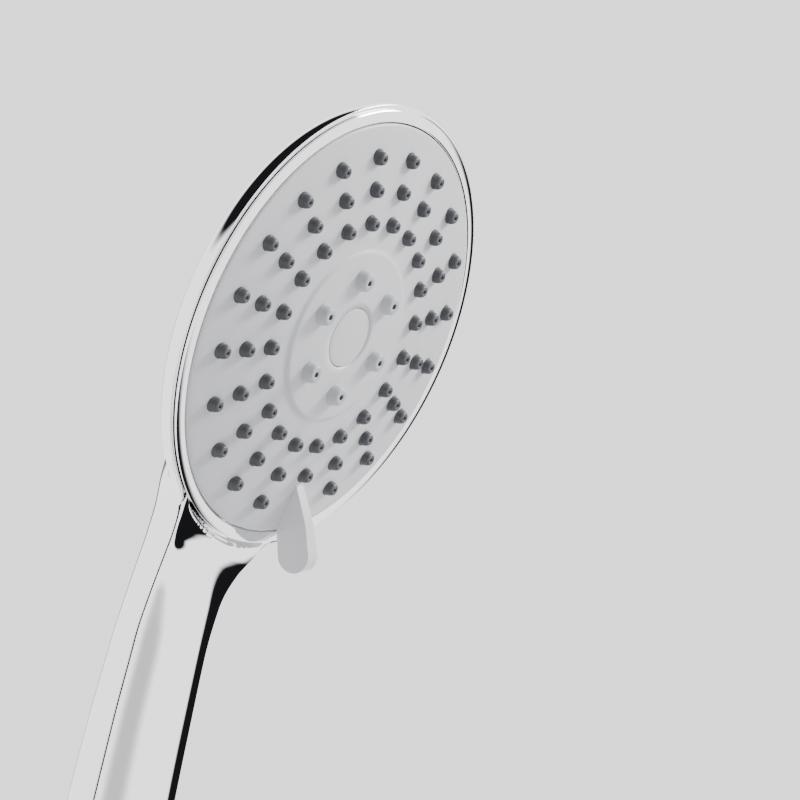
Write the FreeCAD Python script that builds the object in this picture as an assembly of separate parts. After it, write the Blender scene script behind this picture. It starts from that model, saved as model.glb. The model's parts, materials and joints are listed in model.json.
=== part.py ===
"""Handheld shower head with a lever-turned spray engine.

The row frame stands on the hose inlet: the origin is the centre of the inlet's sealing
face, +Z runs up the handle and the spray face looks towards -Y. The head has a frame
of its own (see head_place): its +Z, called w here, points out of the spray face.
All sizes are in millimetres and all angles in degrees.
"""
import FreeCAD
import Part
import math
import os

V = FreeCAD.Vector

# ---- driving dimensions -------------------------------------------------------------
HEAD_RADIUS = 55.3          # outside of the head's rim
HEAD_TILT = 14.3            # the spray face leans this much forward of the handle
HEAD_HEIGHT = 191.45        # row z of the head's centre
HEAD_FORWARD = 27.57        # the head's centre lies this far in front of the handle axis
SELECTOR_REST = 21.0        # the lever's angle from straight down, towards +X, at rest
MODE_STEP = 21.0            # turn of the selector from one spray mode to the next
MODE_COUNT = 3

SHELL_WALL = 2.2
PART_GAP = 0.3              # open seam between chromed covers
FIT_GAP = 0.05              # between pieces that lie on each other
RUN_GAP = 0.06              # radial clearance of a running fit
MOVE_GAP = 0.3              # between curved faces of different bodies

# head cover: a quarter-round rim that runs into a shallow spherical back
RIM_FRONT_W = -3.7          # front edge of the rear cover
RIM_ROUND = 7.0
RIM_CENTRE_W = -3.3
BACK_DEPTH = 25.0           # head's back, behind the head centre

# bezel
BEZEL_INSET = 0.4           # the ring stands this far inside the rear cover's outside
BEZEL_WIDTH = 3.0
BEZEL_OUTER = HEAD_RADIUS - BEZEL_INSET
BEZEL_INNER = BEZEL_OUTER - BEZEL_WIDTH
BEZEL_INNER_W = -2.35
BEZEL_OUTER_W = -3.0
BEZEL_FLANGE_W = -3.35      # underside of the part that covers the rear cover's edge
BEZEL_STEP_W = -3.75
BEZEL_SKIRT = 0.9
BEZEL_SKIRT_W = -5.2
BEZEL_SEAT = 0.6            # from the rear cover's inner wall in to the skirt

# spray face
FACE_GAP = 0.3
FACE_RADIUS = BEZEL_INNER - FACE_GAP
FACE_SPHERE = 250.0
FACE_APEX_W = 3.25
FACE_WALL = 2.2
FACE_LIP_W = -3.4           # the plate's lip overhangs its skirt down to here
FACE_LIP = 1.0
FACE_SKIRT = 1.7
FACE_SKIRT_W = -6.7
ISLAND_RADIUS = 21.0        # raised disc in the middle of the face
ISLAND_SPHERE = 240.0
ISLAND_APEX_W = 3.84
ISLAND_SLOPE = 0.9          # radial width of the island's bank
ISLAND_BLEND = 0.55

# nozzles
SPOKES = 20
RING_RADII = (28.25, 36.3, 44.0)
NOZZLE_RADIUS = 1.8
NOZZLE_TIP_RADIUS = 1.5
NOZZLE_RISE = 2.1
NOZZLE_JET = 0.45
NOZZLE_FEED = 1.0
MASSAGE_COUNT = 6
MASSAGE_RING = 14.5
MASSAGE_RADIUS = 2.55
MASSAGE_TIP_RADIUS = 2.2
MASSAGE_RISE = 2.4
MASSAGE_JET = 0.7
HOLE_GAP = 0.1              # radial clearance of a nozzle in the face plate
MAT_THICK = 1.0

# spray chamber, from the face backwards
CHAMBER_FLOOR_W = (-7.9, -6.6)
CHAMBER_GAP = 0.5
CHAMBER_RADIUS = FACE_RADIUS - FACE_LIP - FACE_SKIRT - CHAMBER_GAP
CHAMBER_WALL = 1.5
PARTITION_INNER = 21.4
HUB_TUBE_INNER = 5.9
HUB_TUBE_WALL = 1.5
GASKET_W = (-8.55, -7.95)
PORT_PLATE_W = (-10.4, -8.6)
PORT_PLATE_RADIUS = 43.5
PORT_RADIUS = 20.0          # radius of the circle that the mode ports lie on
PORT_HOLE = 2.6
PORT_ANGLE = 90.0
ENGINE_SCREW_CIRCLE = 40.2
ENGINE_SCREWS = 3
ENGINE_SCREW_RADIUS = 1.2

# fixed water body
POST_RADIUS = 5.0
POST_TOP_W = -6.45
BODY_W = (-16.4, -12.0)
BODY_RADIUS = 30.0
BODY_WALL = 1.2
BOSS_TOP_W = -10.65
SEAL_BORE = 4.0
SEAL_LENGTH = 2.2
PORT_SPRING_RADIUS = 3.4
PORT_SPRING_WALL = 0.4
SEAL_LIFT = 0.5             # the seal can be pushed back this far
BALL_RADIUS = 2.0
BALL_CIRCLE = 25.0
BALL_ANGLE = 210.0
BALL_TRAVEL = 0.6
BALL_FLOOR = 0.6            # wall behind the ball's bore
SPRING_SEAT = 0.12
BALL_SPRING_RADIUS = 1.55
BALL_SPRING_WALL = 0.3
STOP_CIRCLE = 13.0
STOP_ANGLE = 300.0
STOP_RADIUS = 1.3
BODY_SCREW_CIRCLE = 24.5
BODY_SCREW_ANGLES = (20.0, 160.0, 322.0)
BODY_SCREW_RADIUS = 1.5
BODY_SCREW_DEPTH = 2.0      # how far the screws reach behind the water body

# lever, on one of the nozzle spokes
LEVER_ANGLE = SELECTOR_REST - 90.0
LEVER_TIP_R = 39.1
LEVER_RIDGE = ((43.5, 3.3), (47.2, 5.7))   # points (r, w) of its upper edge
LEVER_ROUND = (55.2, 4.4)  # centre of its round end
LEVER_ROUND_R = 4.6
LEVER_TIP_HALF = 1.3
LEVER_END_HALF = 2.05
LEVER_LIFT = 0.65           # clearance over the bezel
LEVER_FOOT = 1.4            # how deep the lever's foot sits in the face plate

# centre cap and screw
CAP_RADIUS = 7.3
CAP_GAP = 0.15
CAP_RECESS = 1.6
CAP_STEM = 5.75
CAP_SPHERE = 110.0
CAP_APEX_W = 4.05
SCREW_SHANK = 2.0
SCREW_HEAD = 3.6
SCREW_HEAD_TALL = 2.2
WASHER_RADIUS = 5.6
WASHER_THICK = 0.8

# turbine of the massage jets
TURBINE_W = (-5.2, -1.7)
TURBINE_RADIUS = 18.6
TURBINE_HUB = 1.8
TURBINE_BLADES = 8
SWIRL_W = (-6.55, -5.55)

# handle sections: height, half width, y of the side seam, y of the front, y of the rear;
# from the neck on the front is part of the head and the rear runs up its back
HANDLE_SECTIONS = (
    (19.3, 11.3, 0.0, -11.3, 11.3),
    (50.0, 12.5, 0.0, -12.2, 12.5),
    (70.0, 13.2, 0.0, -11.2, 12.9),
    (90.0, 13.0, 0.0, -10.4, 12.5),
    (110.0, 12.4, -0.2, -9.9, 11.5),
    (122.0, 13.3, -2.0, -9.6, 10.6),
    (132.0, 16.2, -5.4, -9.1, 9.4),
    (136.0, 18.0, -7.1, -9.1, 8.9),
    (140.0, 20.0, -8.6, -10.2, 8.5),
    (144.0, 22.2, -9.9, -11.9, 8.1),
    (150.0, 25.0, -11.4, -14.2, 7.7),
    (163.0, 26.0, -14.0, -17.0, 7.4),
    (174.0, 22.5, -17.0, -20.0, 7.0),
    (185.0, 17.5, -20.0, -22.0, 3.0),
    (195.0, 12.0, -22.0, -23.5, -3.0),
    (203.0, 8.0, -24.0, -25.0, -9.0),
)
HANDLE_LOW = HANDLE_SECTIONS[0][0]
FRONT_TOP = 150.0
FRONT_HOLLOW_TOP = 126.0
SEAM_OVERCUT = 0.2          # the hollow is cut this far past the side seam
SECTION_STEP = 6.5

# inlet: G1/2 male thread
THREAD_RADIUS = 10.478
THREAD_ROOT = 9.35
THREAD_PITCH = 1.814
THREAD_LENGTH = 11.5
THREAD_CREST = 0.35
THREAD_TURNS = 5
FERRULE_W = (11.8, 19.0)
FERRULE_RADIUS = 11.3
FERRULE_INNER = 9.9
INLET_BORE = 8.2
INLET_BORE_DEPTH = 12.5
CARTRIDGE_BORE = 7.2
CARTRIDGE_TOP = 33.0
NIPPLE_RADIUS = 9.0
NIPPLE_TOP = 40.0
TUBE_RADIUS = 5.9
TUBE_INNER = 4.6
TUBE_TOP = 129.0
STUB_RADIUS = 4.8
STUB_INNER = 3.5
TUBE_NECK = 4.9             # reduced ends that carry the O-rings
STUB_TOP = 172.5
SOCKET_RADIUS = 7.3
VALVE_LIFT = 2.5


# ---- helpers ------------------------------------------------------------------------
def at(radius, angle, w=0.0):
    """Point on a circle about the local axis."""
    return V(radius * math.cos(math.radians(angle)), radius * math.sin(math.radians(angle)), w)


def rod(radius, low, high, centre=V(0, 0, 0)):
    """Cylinder along the local axis, from one height to another."""
    return Part.makeCylinder(radius, high - low, V(centre.x, centre.y, low))


def ring(inner, outer, low, high, centre=V(0, 0, 0)):
    """Hollow cylinder along the local axis."""
    return rod(outer, low, high, centre).cut(rod(inner, low - 1, high + 1, centre))


def revolved(*steps):
    """Solid of revolution. A step is (r, w), or (r, w, r_mid, w_mid) for an arc to (r, w)."""
    edges = []
    last = V(steps[0][0], 0, steps[0][1])
    for step in steps[1:] + (steps[0][:2],):
        end = V(step[0], 0, step[1])
        if (end - last).Length < 1e-6:
            continue
        if len(step) == 4:
            edges.append(Part.Arc(last, V(step[2], 0, step[3]), end).toShape())
        else:
            edges.append(Part.LineSegment(last, end).toShape())
        last = end
    face = Part.Face(Part.Wire(edges))
    return face.revolve(V(0, 0, 0), V(0, 0, 1), 360)


def sphere_w(r, apex, radius):
    """Height at radius r of a sphere that has its top at apex on the axis."""
    return apex - radius + math.sqrt(radius * radius - r * r)


def sphere_arc(r_from, r_to, apex, radius):
    """Arc step along such a sphere, from one radius to another."""
    mid = (r_from + r_to) / 2
    return (r_to, sphere_w(r_to, apex, radius), mid, sphere_w(mid, apex, radius))


def face_w(r, below=0.0):
    """Height of the spray face at radius r, or of a surface at a depth below it."""
    return sphere_w(r, FACE_APEX_W - below, FACE_SPHERE - below)


def face_arc(r_from, r_to, below=0.0):
    """Arc step along the spray face, or along a surface at a depth below it."""
    return sphere_arc(r_from, r_to, FACE_APEX_W - below, FACE_SPHERE - below)


def island_w(r):
    """Height of the raised disc at radius r."""
    return sphere_w(r, ISLAND_APEX_W, ISLAND_SPHERE)


def polar(shape, count, first=0.0, span=360.0):
    """Copies of a shape, evenly turned about the local axis."""
    copies = []
    for k in range(count):
        copy = shape.copy()
        copy.rotate(V(0, 0, 0), V(0, 0, 1), first + span * k / count)
        copies.append(copy)
    return copies


def edges_at_height(shape, low, high, min_radius=0.0):
    """Circular edges between two heights, further out than a radius."""
    found = []
    for edge in shape.Edges:
        box = edge.BoundBox
        inside = low - 1e-3 <= box.ZMin and box.ZMax <= high + 1e-3
        if inside and isinstance(edge.Curve, Part.Circle) and edge.Curve.Radius > min_radius:
            found.append(edge)
    return found


def coil_spring(mean_radius, wire, low, high, turns):
    """Compression spring: a helix of round wire between two heights."""
    pitch = (high - low - 2 * wire) / turns
    helix = Part.makeHelix(pitch, pitch * turns, mean_radius)
    helix.translate(V(0, 0, low + wire))
    start = V(mean_radius, 0, low + wire)
    circle = Part.Wire(Part.Circle(start, V(0, 1, 0), wire).toShape())
    return Part.Wire(helix).makePipeShell([circle], True, True)


def cup_spring(rim, wall, low, high):
    """Waisted metal cup spring between two heights."""
    middle = (low + high) / 2
    waist = rim - wall
    return revolved(
        (rim, low), (waist, middle), (rim, high),
        (rim - wall, high), (waist - wall, middle), (rim - wall, low),
    )


def o_ring(centre_radius, section, w):
    """Rubber ring of round section about the local axis."""
    return Part.makeTorus(centre_radius, section, V(0, 0, w))


head_place = FreeCAD.Placement(
    V(0, -HEAD_FORWARD, HEAD_HEIGHT), FreeCAD.Rotation(V(1, 0, 0), 90 + HEAD_TILT)
)


def in_head(shape):
    """A shape of the head's own frame, put in the row frame."""
    placed = shape.copy()
    placed.Placement = head_place.multiply(placed.Placement)
    return placed


# ---- chromed covers -----------------------------------------------------------------
def back_profile(inset):
    """Angle, sphere centre and sphere radius of the head's back, inset by a wall."""
    centre_r = HEAD_RADIUS - RIM_ROUND
    # the sphere touches the rim's round from inside and reaches BACK_DEPTH on the axis
    drop = BACK_DEPTH + RIM_CENTRE_W
    big = (centre_r**2 + drop**2 - RIM_ROUND**2) / (2 * (drop - RIM_ROUND))
    centre_w = big - BACK_DEPTH
    angle = math.atan2(centre_w - RIM_CENTRE_W, centre_r)
    return angle, centre_r, centre_w, big - inset


def dome(inset, front_w):
    """Solid of the head's back, inset by a wall, with a flat front at front_w."""
    angle, centre_r, centre_w, big = back_profile(inset)
    round_r = RIM_ROUND - inset
    rim = HEAD_RADIUS - inset

    def on_round(turn):
        return (centre_r + round_r * math.cos(turn), RIM_CENTRE_W - round_r * math.sin(turn))

    def on_back(turn):
        return (big * math.cos(turn), centre_w - big * math.sin(turn))

    join = on_round(angle)
    steps = [(0, front_w), (rim, front_w)]
    if front_w > RIM_CENTRE_W:
        steps.append((rim, RIM_CENTRE_W))
        start = 0.0
    else:
        start = math.asin((RIM_CENTRE_W - front_w) / round_r)
        steps[1] = on_round(start) if front_w < RIM_CENTRE_W else steps[1]
    steps.append(join + on_round((start + angle) / 2))
    half = (angle + math.pi / 2) / 2
    steps.append((0, centre_w - big) + on_back(half))
    return revolved(*steps)


def monotone_slopes(xs, ys):
    """Slopes of the monotone cubic that runs through the points."""
    steps = [(y1 - y0) / (x1 - x0) for x0, x1, y0, y1 in zip(xs, xs[1:], ys, ys[1:])]
    slopes = [steps[0]]
    for before, after in zip(steps, steps[1:]):
        agree = before * after > 0
        slopes.append(2 * before * after / (before + after) if agree else 0.0)
    slopes.append(steps[-1])
    return slopes


def monotone_value(xs, ys, x):
    """Value at x of the monotone cubic through the points."""
    slopes = monotone_slopes(xs, ys)
    k = max(i for i in range(len(xs) - 1) if xs[i] <= x + 1e-9)
    span = xs[k + 1] - xs[k]
    t = (x - xs[k]) / span
    start = ys[k] * (1 + 2 * t) * (1 - t) ** 2 + span * slopes[k] * t * (1 - t) ** 2
    stop = ys[k + 1] * t * t * (3 - 2 * t) + span * slopes[k + 1] * t * t * (t - 1)
    return start + stop


def handle_section(z):
    """Half width, seam, front and rear of the handle at a height."""
    columns = list(zip(*HANDLE_SECTIONS))
    return [monotone_value(columns[0], column, z) for column in columns[1:]]


def half_section(z, half_width, seam, tip):
    """Closed half-oval wire at a height: it bulges from the seam line to the tip."""
    ends = V(half_width, seam, z), V(-half_width, seam, z)
    corners = V(half_width, tip, z), V(-half_width, tip, z)
    poles = [ends[0], corners[0], V(0, tip, z), corners[1], ends[1]]
    side = math.sqrt(0.5)
    weights = [1, side, 1, side, 1]
    curve = Part.BSplineCurve()
    curve.buildFromPolesMultsKnots(poles, [3, 2, 3], [0, 0.5, 1], False, 2, weights)
    return Part.Wire([curve.toShape(), Part.LineSegment(ends[1], ends[0]).toShape()])


def heights(low, high):
    """Evenly spaced heights for a loft, both ends included."""
    count = max(2, round((high - low) / SECTION_STEP)) + 1
    return [low + (high - low) * k / (count - 1) for k in range(count)]


def front_half(low, high, inset=0.0, seam_gap=0.0):
    """Solid in front of the handle's side seam, inset by a wall."""
    wires = []
    for z in heights(low, high):
        half_width, seam, front, rear = handle_section(max(z, HANDLE_SECTIONS[0][0]))
        wires.append(half_section(z, half_width - inset, seam - seam_gap, front + inset))
    return Part.makeLoft(wires, True, False)


def rear_half(low, high, inset=0.0):
    """Solid behind the side seam, inset by a wall. Where the front is thin it stays solid."""
    wires = []
    for z in heights(low, high):
        half_width, seam, front, rear = handle_section(max(z, HANDLE_SECTIONS[0][0]))
        if inset:
            seam = max(seam - SEAM_OVERCUT, front + inset + FIT_GAP)
        wires.append(half_section(z, half_width - inset, seam, rear - inset))
    return Part.makeLoft(wires, True, False)


def screw_boss(angle):
    """Boss on the rear cover's inside that takes a water-body screw."""
    return rod(3.2, -BACK_DEPTH + 1.0, BODY_W[0] - FIT_GAP, at(BODY_SCREW_CIRCLE, angle))


def rear_cover():
    """Rear half of the handle and the back of the head, one chromed moulding."""
    top = HANDLE_SECTIONS[-1][0]
    outer = in_head(dome(0.0, RIM_FRONT_W)).fuse(rear_half(HANDLE_LOW, top))
    # nothing of the handle stands forward of the head's rim
    front_slab = in_head(rod(HEAD_RADIUS + 20, RIM_FRONT_W, RIM_FRONT_W + 40))
    cover = outer.cut(front_slab)
    cover = cover.cut(rear_half(HANDLE_LOW - 1, top - 6, SHELL_WALL))
    cover = cover.cut(in_head(dome(SHELL_WALL, 10.0)))
    bosses = []
    for angle in BODY_SCREW_ANGLES:
        pilot = rod(BODY_SCREW_RADIUS, BODY_W[0] - BODY_SCREW_DEPTH - 0.1, BODY_W[0] + 1,
                    at(BODY_SCREW_CIRCLE, angle))
        bosses.append(in_head(screw_boss(angle).common(dome(1.0, 0.0)).cut(pilot)))
    return cover.fuse(bosses)


def front_cover():
    """Front half of the handle, from the ferrule up to the head's rim."""
    cover = front_half(HANDLE_LOW, FRONT_TOP, 0.0, PART_GAP)
    cover = cover.cut(front_half(HANDLE_LOW - 1, FRONT_HOLLOW_TOP, SHELL_WALL))
    head_room = in_head(rod(HEAD_RADIUS + PART_GAP, -60, 60))
    tube_room = rod(SOCKET_RADIUS + PART_GAP, FRONT_HOLLOW_TOP - 4, FRONT_TOP)
    return cover.cut([head_room, tube_room])


def bezel_ring():
    """Chromed ring round the spray face, with a skirt that goes into the rear cover."""
    skirt_outer = HEAD_RADIUS - SHELL_WALL - BEZEL_SEAT
    skirt_inner = skirt_outer - BEZEL_SKIRT
    crown = (BEZEL_INNER + BEZEL_OUTER) / 2
    return revolved(
        (BEZEL_INNER, BEZEL_STEP_W),
        (BEZEL_INNER, BEZEL_INNER_W - 0.3),
        (BEZEL_INNER + 0.3, BEZEL_INNER_W),
        (BEZEL_OUTER, BEZEL_OUTER_W - 0.2, crown + 0.2, BEZEL_INNER_W - 0.3),
        (BEZEL_OUTER, BEZEL_FLANGE_W),
        (skirt_outer, BEZEL_FLANGE_W),
        (skirt_outer, BEZEL_SKIRT_W),
        (skirt_inner, BEZEL_SKIRT_W),
        (skirt_inner, BEZEL_STEP_W),
    )


# ---- spray engine: turns with the lever -----------------------------------------------
def nozzle_places():
    """Centres of the rain nozzles. The lever takes the place of one in the outer ring."""
    places = []
    for radius in RING_RADII:
        for k in range(SPOKES):
            under_lever = k == 0 and radius == RING_RADII[-1]
            if not under_lever:
                places.append(at(radius, LEVER_ANGLE + 360.0 * k / SPOKES))
    return places


def massage_places():
    """Centres of the massage nozzles on the island."""
    return [at(MASSAGE_RING, LEVER_ANGLE + 360.0 * k / MASSAGE_COUNT) for k in range(MASSAGE_COUNT)]


def face_plate():
    """White domed plate with the raised island, a skirt, and holes for nozzles and lever."""
    recess_w = island_w(CAP_RADIUS) - CAP_RECESS
    bank = ISLAND_RADIUS + ISLAND_SLOPE
    stem_hole = CAP_STEM + FIT_GAP
    cap_hole = CAP_RADIUS + CAP_GAP
    skirt = FACE_RADIUS - FACE_LIP
    plate = revolved(
        (stem_hole, recess_w),
        (cap_hole, recess_w),
        (cap_hole, island_w(cap_hole)),
        sphere_arc(cap_hole, ISLAND_RADIUS, ISLAND_APEX_W, ISLAND_SPHERE),
        (bank, face_w(bank)),
        face_arc(bank, FACE_RADIUS - 0.4),
        (FACE_RADIUS, face_w(FACE_RADIUS - 0.4) - 0.4),
        (FACE_RADIUS, FACE_LIP_W),
        (skirt, FACE_LIP_W),
        (skirt, FACE_SKIRT_W),
        (skirt - FACE_SKIRT, FACE_SKIRT_W),
        (skirt - FACE_SKIRT, face_w(skirt - FACE_SKIRT, FACE_WALL)),
        face_arc(skirt - FACE_SKIRT, stem_hole, FACE_WALL),
    )
    banks = edges_at_height(plate, face_w(bank), island_w(ISLAND_RADIUS), ISLAND_RADIUS - 1)
    plate = plate.makeFillet(ISLAND_BLEND, banks)
    holes = [rod(NOZZLE_RADIUS + HOLE_GAP, -12, 12, p) for p in nozzle_places()]
    holes += [rod(MASSAGE_RADIUS + HOLE_GAP, -12, 12, p) for p in massage_places()]
    return plate.cut(holes).cut(lever_foot(FIT_GAP))


def nozzle(radius, tip_radius, top, base, jet, feed):
    """One soft nozzle with a stepped tip, before its bore is cut."""
    neck = tip_radius * 0.82
    body = revolved(
        (0, base),
        (radius, base),
        (radius, top - 1.15),
        (tip_radius, top - 0.55),
        (neck, top - 0.4),
        (neck, top - 0.1),
        (neck - 0.1, top),
        (0, top),
    )
    bore = revolved((0, base - 1), (feed, base - 1), (feed, top - 1.4), (jet, top - 0.8), (jet, top + 1), (0, top + 1))
    return body, bore


def soft_mat(inner, outer, places, radius, tip_radius, rise, jet, feed, surface):
    """Rubber sheet under the face plate with a nozzle standing at each place."""
    below = FACE_WALL + FIT_GAP
    sheet = revolved(
        (inner, face_w(inner, below)),
        face_arc(inner, outer, below),
        (outer, face_w(outer, below + MAT_THICK)),
        face_arc(outer, inner, below + MAT_THICK),
    )
    bodies, bores = [], []
    for place in places:
        r = math.hypot(place.x, place.y)
        top = surface(r) + rise
        body, bore = nozzle(radius, tip_radius, top, face_w(r, below + MAT_THICK * 0.6), jet, feed)
        body.translate(place)
        bore.translate(place)
        bodies.append(body)
        bores.append(bore)
    return sheet.fuse(bodies).cut(bores)


def rain_mat():
    """Dark rubber mat with the rain nozzles."""
    inner = PARTITION_INNER + CHAMBER_WALL + 0.2
    outer = CHAMBER_RADIUS - CHAMBER_WALL - 0.2
    return soft_mat(inner, outer, nozzle_places(), NOZZLE_RADIUS, NOZZLE_TIP_RADIUS,
                    NOZZLE_RISE, NOZZLE_JET, NOZZLE_FEED, face_w)


def massage_mat():
    """Pale rubber mat with the massage nozzles."""
    inner = HUB_TUBE_INNER + HUB_TUBE_WALL + 0.2
    outer = PARTITION_INNER - 0.2
    return soft_mat(inner, outer, massage_places(), MASSAGE_RADIUS, MASSAGE_TIP_RADIUS,
                    MASSAGE_RISE, MASSAGE_JET, MASSAGE_RADIUS - 1.0, island_w)


def engine_screw_places():
    """Centres of the screws that clamp the port plate to the spray chamber."""
    return [at(ENGINE_SCREW_CIRCLE, 9.0 + 360.0 * k / ENGINE_SCREWS) for k in range(ENGINE_SCREWS)]


def spray_chamber():
    """White moulding behind the mats: an outer and an inner water chamber and the hub tube."""
    low, top = CHAMBER_FLOOR_W
    wall_inner = CHAMBER_RADIUS - CHAMBER_WALL
    partition_outer = PARTITION_INNER + CHAMBER_WALL
    hub_outer = HUB_TUBE_INNER + HUB_TUBE_WALL
    under = FACE_WALL + FIT_GAP
    chamber = ring(POST_RADIUS + RUN_GAP, CHAMBER_RADIUS, low, top)
    chamber = chamber.fuse([
        ring(wall_inner, CHAMBER_RADIUS, top, face_w(CHAMBER_RADIUS, under)),
        ring(PARTITION_INNER, partition_outer, top, face_w(partition_outer, under)),
        ring(HUB_TUBE_INNER, hub_outer, top, face_w(hub_outer, under)),
    ])
    chamber = chamber.fuse([rod(2.5, top, top + 1.4, p) for p in engine_screw_places()])
    inlets = [rod(1.6, low - 1, top + 0.5, at(14.0, PORT_ANGLE + 8 + 30.0 * k)) for k in range(3)]
    inlets += [rod(2.4, low - 1, top + 0.5, at(32.2, PORT_ANGLE + 24 + 30.0 * k)) for k in range(2)]
    pilots = [rod(ENGINE_SCREW_RADIUS, low - 1, top + 0.6, p) for p in engine_screw_places()]
    return chamber.cut(inlets + pilots)


def radial_channel(angle, r_from, r_to, half_width, low, high):
    """Straight slot along a radius, with round ends."""
    box = Part.makeBox(r_to - r_from, 2 * half_width, high - low, V(r_from, -half_width, low))
    slot = box.fuse([rod(half_width, low, high, V(r, 0, 0)) for r in (r_from, r_to)])
    slot.rotate(V(0, 0, 0), V(0, 0, 1), angle)
    return slot


def channel_gasket():
    """Rubber sheet between the spray chamber and the port plate."""
    low, high = GASKET_W
    sheet = ring(POST_RADIUS + 0.6, PORT_PLATE_RADIUS, low, high)
    cuts = [rod(ENGINE_SCREW_RADIUS + 0.2, low - 1, high + 1, p) for p in engine_screw_places()]
    cuts += [rod(2.0, low - 1, high + 1, at(14.0, PORT_ANGLE + 8 + 30.0 * k)) for k in range(3)]
    cuts += [rod(2.7, low - 1, high + 1, at(32.2, PORT_ANGLE + 24 + 30.0 * k)) for k in range(2)]
    return sheet.cut(cuts)


def port_plate():
    """Rear plate of the engine: a port per spray mode, detent notches and the stop slot."""
    low, high = PORT_PLATE_W
    plate = ring(POST_RADIUS + RUN_GAP, PORT_PLATE_RADIUS, low, high)
    cuts = []
    for mode in range(MODE_COUNT):
        angle = PORT_ANGLE + MODE_STEP * mode
        cuts.append(rod(PORT_HOLE, low - 1, high + 1, at(PORT_RADIUS, angle)))
        channel_ends = ((14.0, PORT_RADIUS), (14.0, 32.0), (PORT_RADIUS, 32.0))[mode]
        cuts.append(radial_channel(angle, *channel_ends, 1.8, high - 0.8, high + 1))
        notch_centre = at(BALL_CIRCLE, BALL_ANGLE + MODE_STEP * mode, ball_w() + BALL_TRAVEL)
        cuts.append(Part.makeSphere(BALL_RADIUS + RUN_GAP, notch_centre))
    sweep = MODE_STEP * (MODE_COUNT - 1)
    groove = revolved(
        (STOP_CIRCLE - STOP_RADIUS - 0.15, low - 1),
        (STOP_CIRCLE + STOP_RADIUS + 0.15, low - 1),
        (STOP_CIRCLE + STOP_RADIUS + 0.15, low + 1.1),
        (STOP_CIRCLE - STOP_RADIUS - 0.15, low + 1.1),
    )
    sector = Part.makeCylinder(STOP_CIRCLE + 5, 10, V(0, 0, low - 2), V(0, 0, 1), sweep)
    sector.rotate(V(0, 0, 0), V(0, 0, 1), STOP_ANGLE)
    cuts.append(groove.common(sector))
    for angle in (STOP_ANGLE, STOP_ANGLE + sweep):
        cuts.append(rod(STOP_RADIUS + 0.15, low - 1, low + 1.1, at(STOP_CIRCLE, angle)))
    for place in engine_screw_places():
        cuts.append(rod(ENGINE_SCREW_RADIUS + 0.15, low - 1, high + 1, place))
        cuts.append(rod(2.5, low - 1, low + 1.0, place))
    return plate.cut(cuts)


def engine_screws():
    """Pan-head screws, all in one node."""
    low = PORT_PLATE_W[0]
    screws = []
    for place in engine_screw_places():
        head = rod(2.2, low + 0.1, low + 1.0, place)
        shank = rod(ENGINE_SCREW_RADIUS - FIT_GAP, low + 1.0, CHAMBER_FLOOR_W[1] + 0.4, place)
        slot = Part.makeBox(3.0, 0.5, 0.5, V(place.x - 1.5, place.y - 0.25, low - 0.1))
        screws.append(head.fuse(shank).cut(slot))
    return Part.makeCompound(screws)


def lever_outline():
    """Side view of the lever in (r, w): a teardrop with its tip towards the centre."""

    def on_round(angle):
        centre = V(LEVER_ROUND[0], 0, LEVER_ROUND[1])
        turn = math.radians(angle)
        return centre + V(LEVER_ROUND_R * math.cos(turn), 0, LEVER_ROUND_R * math.sin(turn))

    tip = V(LEVER_TIP_R, 0, face_w(LEVER_TIP_R) + 0.1)
    foot = V(LEVER_TIP_R, 0, face_w(LEVER_TIP_R) + FIT_GAP)
    edge = FACE_RADIUS - 0.5
    inner_heel = V(edge, 0, face_w(edge) + FIT_GAP)
    heel = V(BEZEL_INNER, 0, BEZEL_INNER_W + LEVER_LIFT)
    crest, under = on_round(126), on_round(-52)
    upper = Part.BSplineCurve()
    ridge = [V(r, 0, w) for r, w in LEVER_RIDGE]
    along_round = V(math.sin(math.radians(126)), 0, -math.cos(math.radians(126)))
    upper.interpolate(
        Points=[tip] + ridge + [crest], InitialTangent=(ridge[0] - tip), FinalTangent=along_round
    )
    middle = (edge + LEVER_TIP_R) / 2
    return [
        upper.toShape(),
        Part.Arc(crest, on_round(40), under).toShape(),
        Part.LineSegment(under, heel).toShape(),
        Part.LineSegment(heel, inner_heel).toShape(),
        Part.Arc(inner_heel, V(middle, 0, face_w(middle) + FIT_GAP), foot).toShape(),
        Part.LineSegment(foot, tip).toShape(),
    ]


def lever_plan():
    """Solid whose top view is the lever's: narrow at the tip, round at the outer end."""
    reach = LEVER_ROUND[0] + LEVER_ROUND_R
    end = reach - LEVER_END_HALF
    low, high = V(LEVER_TIP_R - 0.2, -LEVER_TIP_HALF, 0), V(LEVER_TIP_R - 0.2, LEVER_TIP_HALF, 0)
    far_low, far_high = V(end, -LEVER_END_HALF, 0), V(end, LEVER_END_HALF, 0)
    wire = Part.Wire([
        Part.LineSegment(low, far_low).toShape(),
        Part.Arc(far_low, V(reach + 0.05, 0, 0), far_high).toShape(),
        Part.LineSegment(far_high, high).toShape(),
        Part.LineSegment(high, low).toShape(),
    ])
    solid = Part.Face(wire).extrude(V(0, 0, 40))
    solid.translate(V(0, 0, -20))
    return solid


def turned_to_lever(shape):
    """A shape drawn along local +X, turned to the lever's angle."""
    shape.rotate(V(0, 0, 0), V(0, 0, 1), LEVER_ANGLE)
    return shape


def lever_foot(gap):
    """Foot of the lever, or with a gap its pocket in the face plate."""
    start, stop = LEVER_TIP_R + 3.0, FACE_RADIUS - 2.6
    half = 0.9 + gap
    foot = Part.makeBox(stop - start + 2 * gap, 2 * half, 12, V(start - gap, -half, -6))
    depth = LEVER_FOOT + gap
    skin = revolved(
        (start - 2, face_w(start - 2, depth)),
        face_arc(start - 2, stop + 2, depth),
        (stop + 2, face_w(stop + 2) + 0.5),
        (start - 2, face_w(start - 2) + 0.5),
    )
    return turned_to_lever(foot.common(skin))


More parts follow.
